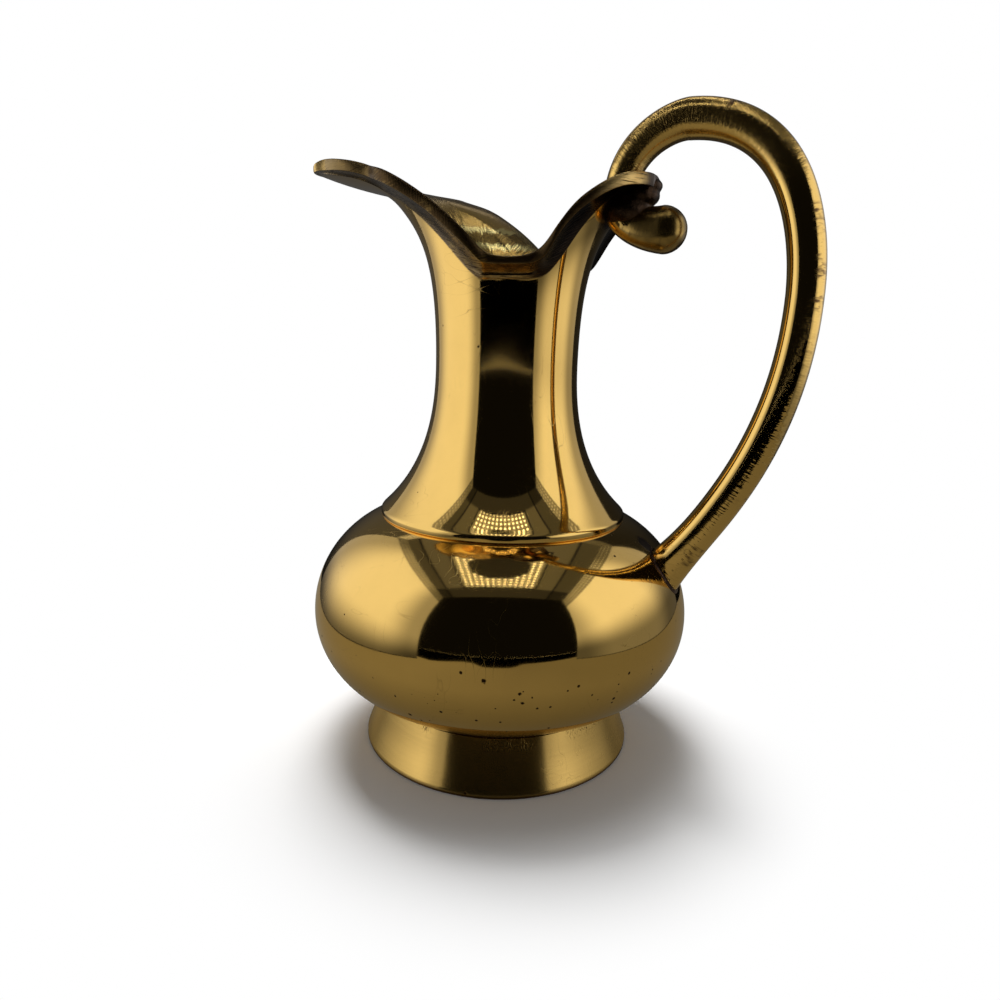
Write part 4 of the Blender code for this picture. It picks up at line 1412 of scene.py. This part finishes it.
def wall_material(stage, name, wall):
    """A lit cloth wall, dimmer towards the floor and its ends, with lamps along its top."""
    floor_glow, rise, fades = wall
    material, graph = bare_material(name)
    y, z = graph.place["Y"], graph.place["Z"]
    level = graph.ramp(z, *rise, floor_glow, stage.wall_light)
    for axis, *levels in fades:
        level = graph.times(level, graph.ramp(graph.place[axis], *levels))
    hem = graph.ramp(z, 0.002, 0.003, 0.06, 1.0)
    corner = graph.ramp(y, stage.tent_depth - 0.0045, stage.tent_depth - 0.0035, 1.0, 0.08)
    plain = graph.times(level, hem, corner)
    lamps = graph.times(level, graph.line(lamp_dots(graph, y, z), *WALL_LAMPS))
    top = stage.tent_height - 3.0 * LAMP_PITCH
    above = graph.ramp(z, top - 0.001, top)
    below = graph.times(graph.minus(1.0, above), plain)
    glow(graph, graph.line(above, lamps, below))
    return material


def ceiling_material(stage):
    """A dim ceiling with a square panel of small lamps round a dark hole."""
    material, graph = bare_material("lamp panel")
    size = stage.panel_size
    x = graph.minus(graph.place["X"], PANEL_CENTRE[0])
    y = graph.minus(graph.place["Y"], PANEL_CENTRE[1])
    wide = graph.maths("ABSOLUTE", x)
    deep = graph.times(graph.maths("ABSOLUTE", y), size / (size + PANEL_EXTRA_DEPTH))
    square = graph.maths("MAXIMUM", wide, deep)
    panel = graph.ramp(square, size - 0.001, size, 1.0, 0.0)
    ring = graph.ramp(graph.hypot(x, y), PANEL_HOLE, PANEL_HOLE + 0.004)
    lit = graph.times(graph.line(lamp_dots(graph, x, y), *PANEL_LAMPS), panel, ring)
    hole = graph.line(ring, -HOLE_GLOW, HOLE_GLOW)
    cloth = graph.ramp(wide, CLOTH_SEAM - 0.005, CLOTH_SEAM - 0.002, *CLOTH_GLOWS)
    from_seam = graph.maths("ABSOLUTE", graph.minus(wide, CLOTH_SEAM))
    seam = graph.ramp(from_seam, 0.0015, 0.003, 0.1, 1.0)
    rim = graph.ramp(graph.minus(square, size), 0.004, 0.005, 0.15, 1.0)
    front = graph.ramp(graph.place["Y"], -0.128, -0.120, 0.3, 1.0)
    cloth = graph.times(cloth, seam, rim, front, graph.minus(1.0, panel))
    glow(graph, graph.plus(graph.plus(lit, graph.times(hole, panel)), cloth))
    return material


def tent_floor_material():
    """The tent's grey floor with its uneven front edge, beyond which it is dark."""
    material, graph = bare_material("tent floor")
    x, y = graph.place["X"], graph.place["Y"]
    middle = graph.ramp(graph.maths("ABSOLUTE", x), 0.02, 0.09, *TENT_FLOOR_FRONTS)
    front = graph.plus(middle, graph.ramp(x, -0.145, -0.110, 0.13, 0.0))
    inside = graph.ramp(graph.minus(y, front), -0.004, 0.004)
    round_foot = graph.ramp(graph.hypot(x, y), 0.030, 0.090, FOOT_SHADE, 1.0)
    shade = graph.times(round_foot, graph.ramp(x, -0.1, 0.1, *TENT_FLOOR_GLOWS))
    glow(graph, graph.times(inside, shade), TENT_FLOOR_TINT)
    return material


def background_rays(graph):
    """1 for rays from the camera, off metal or through glass, which see the white background."""
    paths = graph.add("LightPath", {})
    seen = graph.maths("MAXIMUM", paths["Is Camera Ray"], paths["Is Glossy Ray"])
    return graph.maths("MAXIMUM", seen, paths["Is Transmission Ray"])


class PITCHER_OT_stage(bpy.types.Operator):
    """Set up the floor, the light tent, the world and the camera"""

    bl_idname = "pitcher.stage"
    bl_label = "Light tent and camera"

    def execute(self, context):
        self.floor()
        self.tent(context.scene.pitcher_stage)
        self.lamp()
        self.world(context.scene)
        self.camera(context.scene)
        context.scene.view_settings.view_transform = "Standard"
        return {"FINISHED"}

    def floor(self):
        """A pale floor that keeps the shadow and turns white away from it."""
        material, graph = bare_material("pale floor")
        seen = background_rays(graph)
        shown = graph.line(seen, 1.0 - FLOOR_GREY, FLOOR_GREY)
        grey = graph.add("CombineColor", {0: shown, 1: shown, 2: shown})[0]
        away = graph.hypot(graph.place["X"], graph.place["Y"])
        white_share = graph.times(graph.ramp(away, *SHADOW_REACH), seen)
        plain = graph.add("BsdfDiffuse", {"Color": grey})[0]
        white = graph.add("Emission", {"Strength": 1.0})[0]
        graph.surface(graph.add("MixShader", {0: white_share, 1: plain, 2: white})[0])
        builder = bmesh.new()
        bmesh.ops.create_circle(builder, cap_ends=True, segments=96, radius=FLOOR_RADIUS)
        ground = as_object("floor", builder, material)
        ground.location = (AXIS_X, 0.0, 0.0)

    def tent(self, stage):
        """Cards and a dark room, which light nothing and only show in the brass."""
        left, right = -stage.tent_left, stage.tent_right
        back, top = stage.tent_depth, stage.tent_height
        low, front_top = TENT_LOW, TENT_FRONT_TOP
        cloth = wall_material(stage, "left cloth", LEFT_WALL)
        corners = [(left, TENT_FRONT_LEFT, low), (left, back, low)]
        card("left wall", corners + [(left, back, top), (left, TENT_FRONT_LEFT, top)], cloth)
        cloth = wall_material(stage, "right cloth", RIGHT_WALL)
        corners = [(TENT_WIDE, back, low), (TENT_WIDE, TENT_FRONT_RIGHT, low)]
        card("right wall", corners + [(right, front_top, top), (right, back, top)], cloth)
        cloth = wall_material(stage, "back cloth", BACK_WALL)
        corners = [(left, back, low), (TENT_WIDE, back, low)]
        card("back wall", corners + [(right, back, top), (left, back, top)], cloth)
        corners = [(left, front_top, top), (left, back, top)]
        corners += [(right, back, top), (right, front_top, top)]
        card("ceiling", corners, ceiling_material(stage))
        ground = bmesh.new()
        lifted = Matrix.Translation((0.0, 0.0, low / 2))
        bmesh.ops.create_grid(ground, x_segments=1, y_segments=1, size=1.9, matrix=lifted)
        stood("tent floor", ground, tent_floor_material())
        room = bmesh.new()
        bmesh.ops.create_cube(room, size=ROOM_SIZE)
        material, graph = bare_material("dark room")
        glow(graph, ROOM_GLOW)
        stood("dark room", room, material)

    def lamp(self):
        lamp = bpy.data.lights.new("soft lamp", "AREA")
        lamp.size = LAMP_SIZE
        lamp.energy = LAMP_ENERGY
        holder = bpy.data.objects.new("soft lamp", lamp)
        centre = Vector((AXIS_X, 0.0, 0.0))
        place = centre + Vector(LAMP_PLACE)
        turn = (centre - place).to_track_quat("-Z", "Y")
        holder.matrix_world = Matrix.Translation(place) @ turn.to_matrix().to_4x4()
        holder.visible_glossy = False
        bpy.context.scene.collection.objects.link(holder)

    def world(self, scene):
        scene.world = bpy.data.worlds.new("white world")
        scene.world.use_nodes = True
        graph = Graph(scene.world.node_tree)
        ground = graph.tree.nodes["Background"].inputs
        white = graph.line(background_rays(graph), 1.0 - WORLD_LIGHT, WORLD_LIGHT)
        graph.feed(ground["Strength"], white)
        graph.feed(ground["Color"], WHITE)

    def camera(self, scene):
        camera = bpy.data.cameras.new("camera")
        camera.sensor_width = 36.0
        camera.lens = CAMERA_LENS
        camera.clip_start = 0.01
        holder = bpy.data.objects.new("camera", camera)
        turn = math.radians(CAMERA_TURN)
        away = Vector((math.sin(turn), -math.cos(turn))) * CAMERA_DISTANCE
        holder.matrix_world = Matrix.Translation((AXIS_X + away.x, away.y, CAMERA_HEIGHT))
        for angle, axis in (
            (CAMERA_TURN - CAMERA_YAW, "Z"), (90.0 - CAMERA_PITCH, "X"), (CAMERA_ROLL, "Z"),
        ):
            holder.matrix_world @= Matrix.Rotation(math.radians(angle), 4, axis)
        scene.collection.objects.link(holder)
        scene.camera = holder


class PITCHER_PT_panel(bpy.types.Panel):
    """Buttons and settings of the pitcher"""

    bl_idname = "PITCHER_PT_panel"
    bl_label = "Brass pitcher"
    bl_space_type = "VIEW_3D"
    bl_region_type = "UI"
    bl_category = "Pitcher"

    def draw(self, context):
        layout = self.layout
        for operator in OPERATORS:
            layout.operator(operator.bl_idname)
        for name, group in GROUPS:
            box = layout.box()
            for key in group.__annotations__:
                box.prop(getattr(context.scene, name), key)


GROUPS = (
    ("pitcher_sizes", PitcherSizes),
    ("pitcher_finish", PitcherFinish),
    ("pitcher_stage", PitcherStage),
)
OPERATORS = (
    PITCHER_OT_metals,
    PITCHER_OT_foot,
    PITCHER_OT_bowl,
    PITCHER_OT_neck,
    PITCHER_OT_handle,
    PITCHER_OT_joints,
    PITCHER_OT_stage,
)


def register():
    for name, group in GROUPS:
        bpy.utils.register_class(group)
        setattr(bpy.types.Scene, name, PointerProperty(type=group))
    for operator in OPERATORS:
        bpy.utils.register_class(operator)
    bpy.utils.register_class(PITCHER_PT_panel)


def unregister():
    bpy.utils.unregister_class(PITCHER_PT_panel)
    for operator in reversed(OPERATORS):
        bpy.utils.unregister_class(operator)
    for name, group in reversed(GROUPS):
        delattr(bpy.types.Scene, name)
        bpy.utils.unregister_class(group)


def main():
    register()
    bpy.ops.pitcher.metals()
    bpy.ops.pitcher.foot()
    bpy.ops.pitcher.bowl()
    bpy.ops.pitcher.neck()
    bpy.ops.pitcher.handle()
    bpy.ops.pitcher.joints()
    bpy.ops.pitcher.stage()


if __name__ == "__main__":
    main()
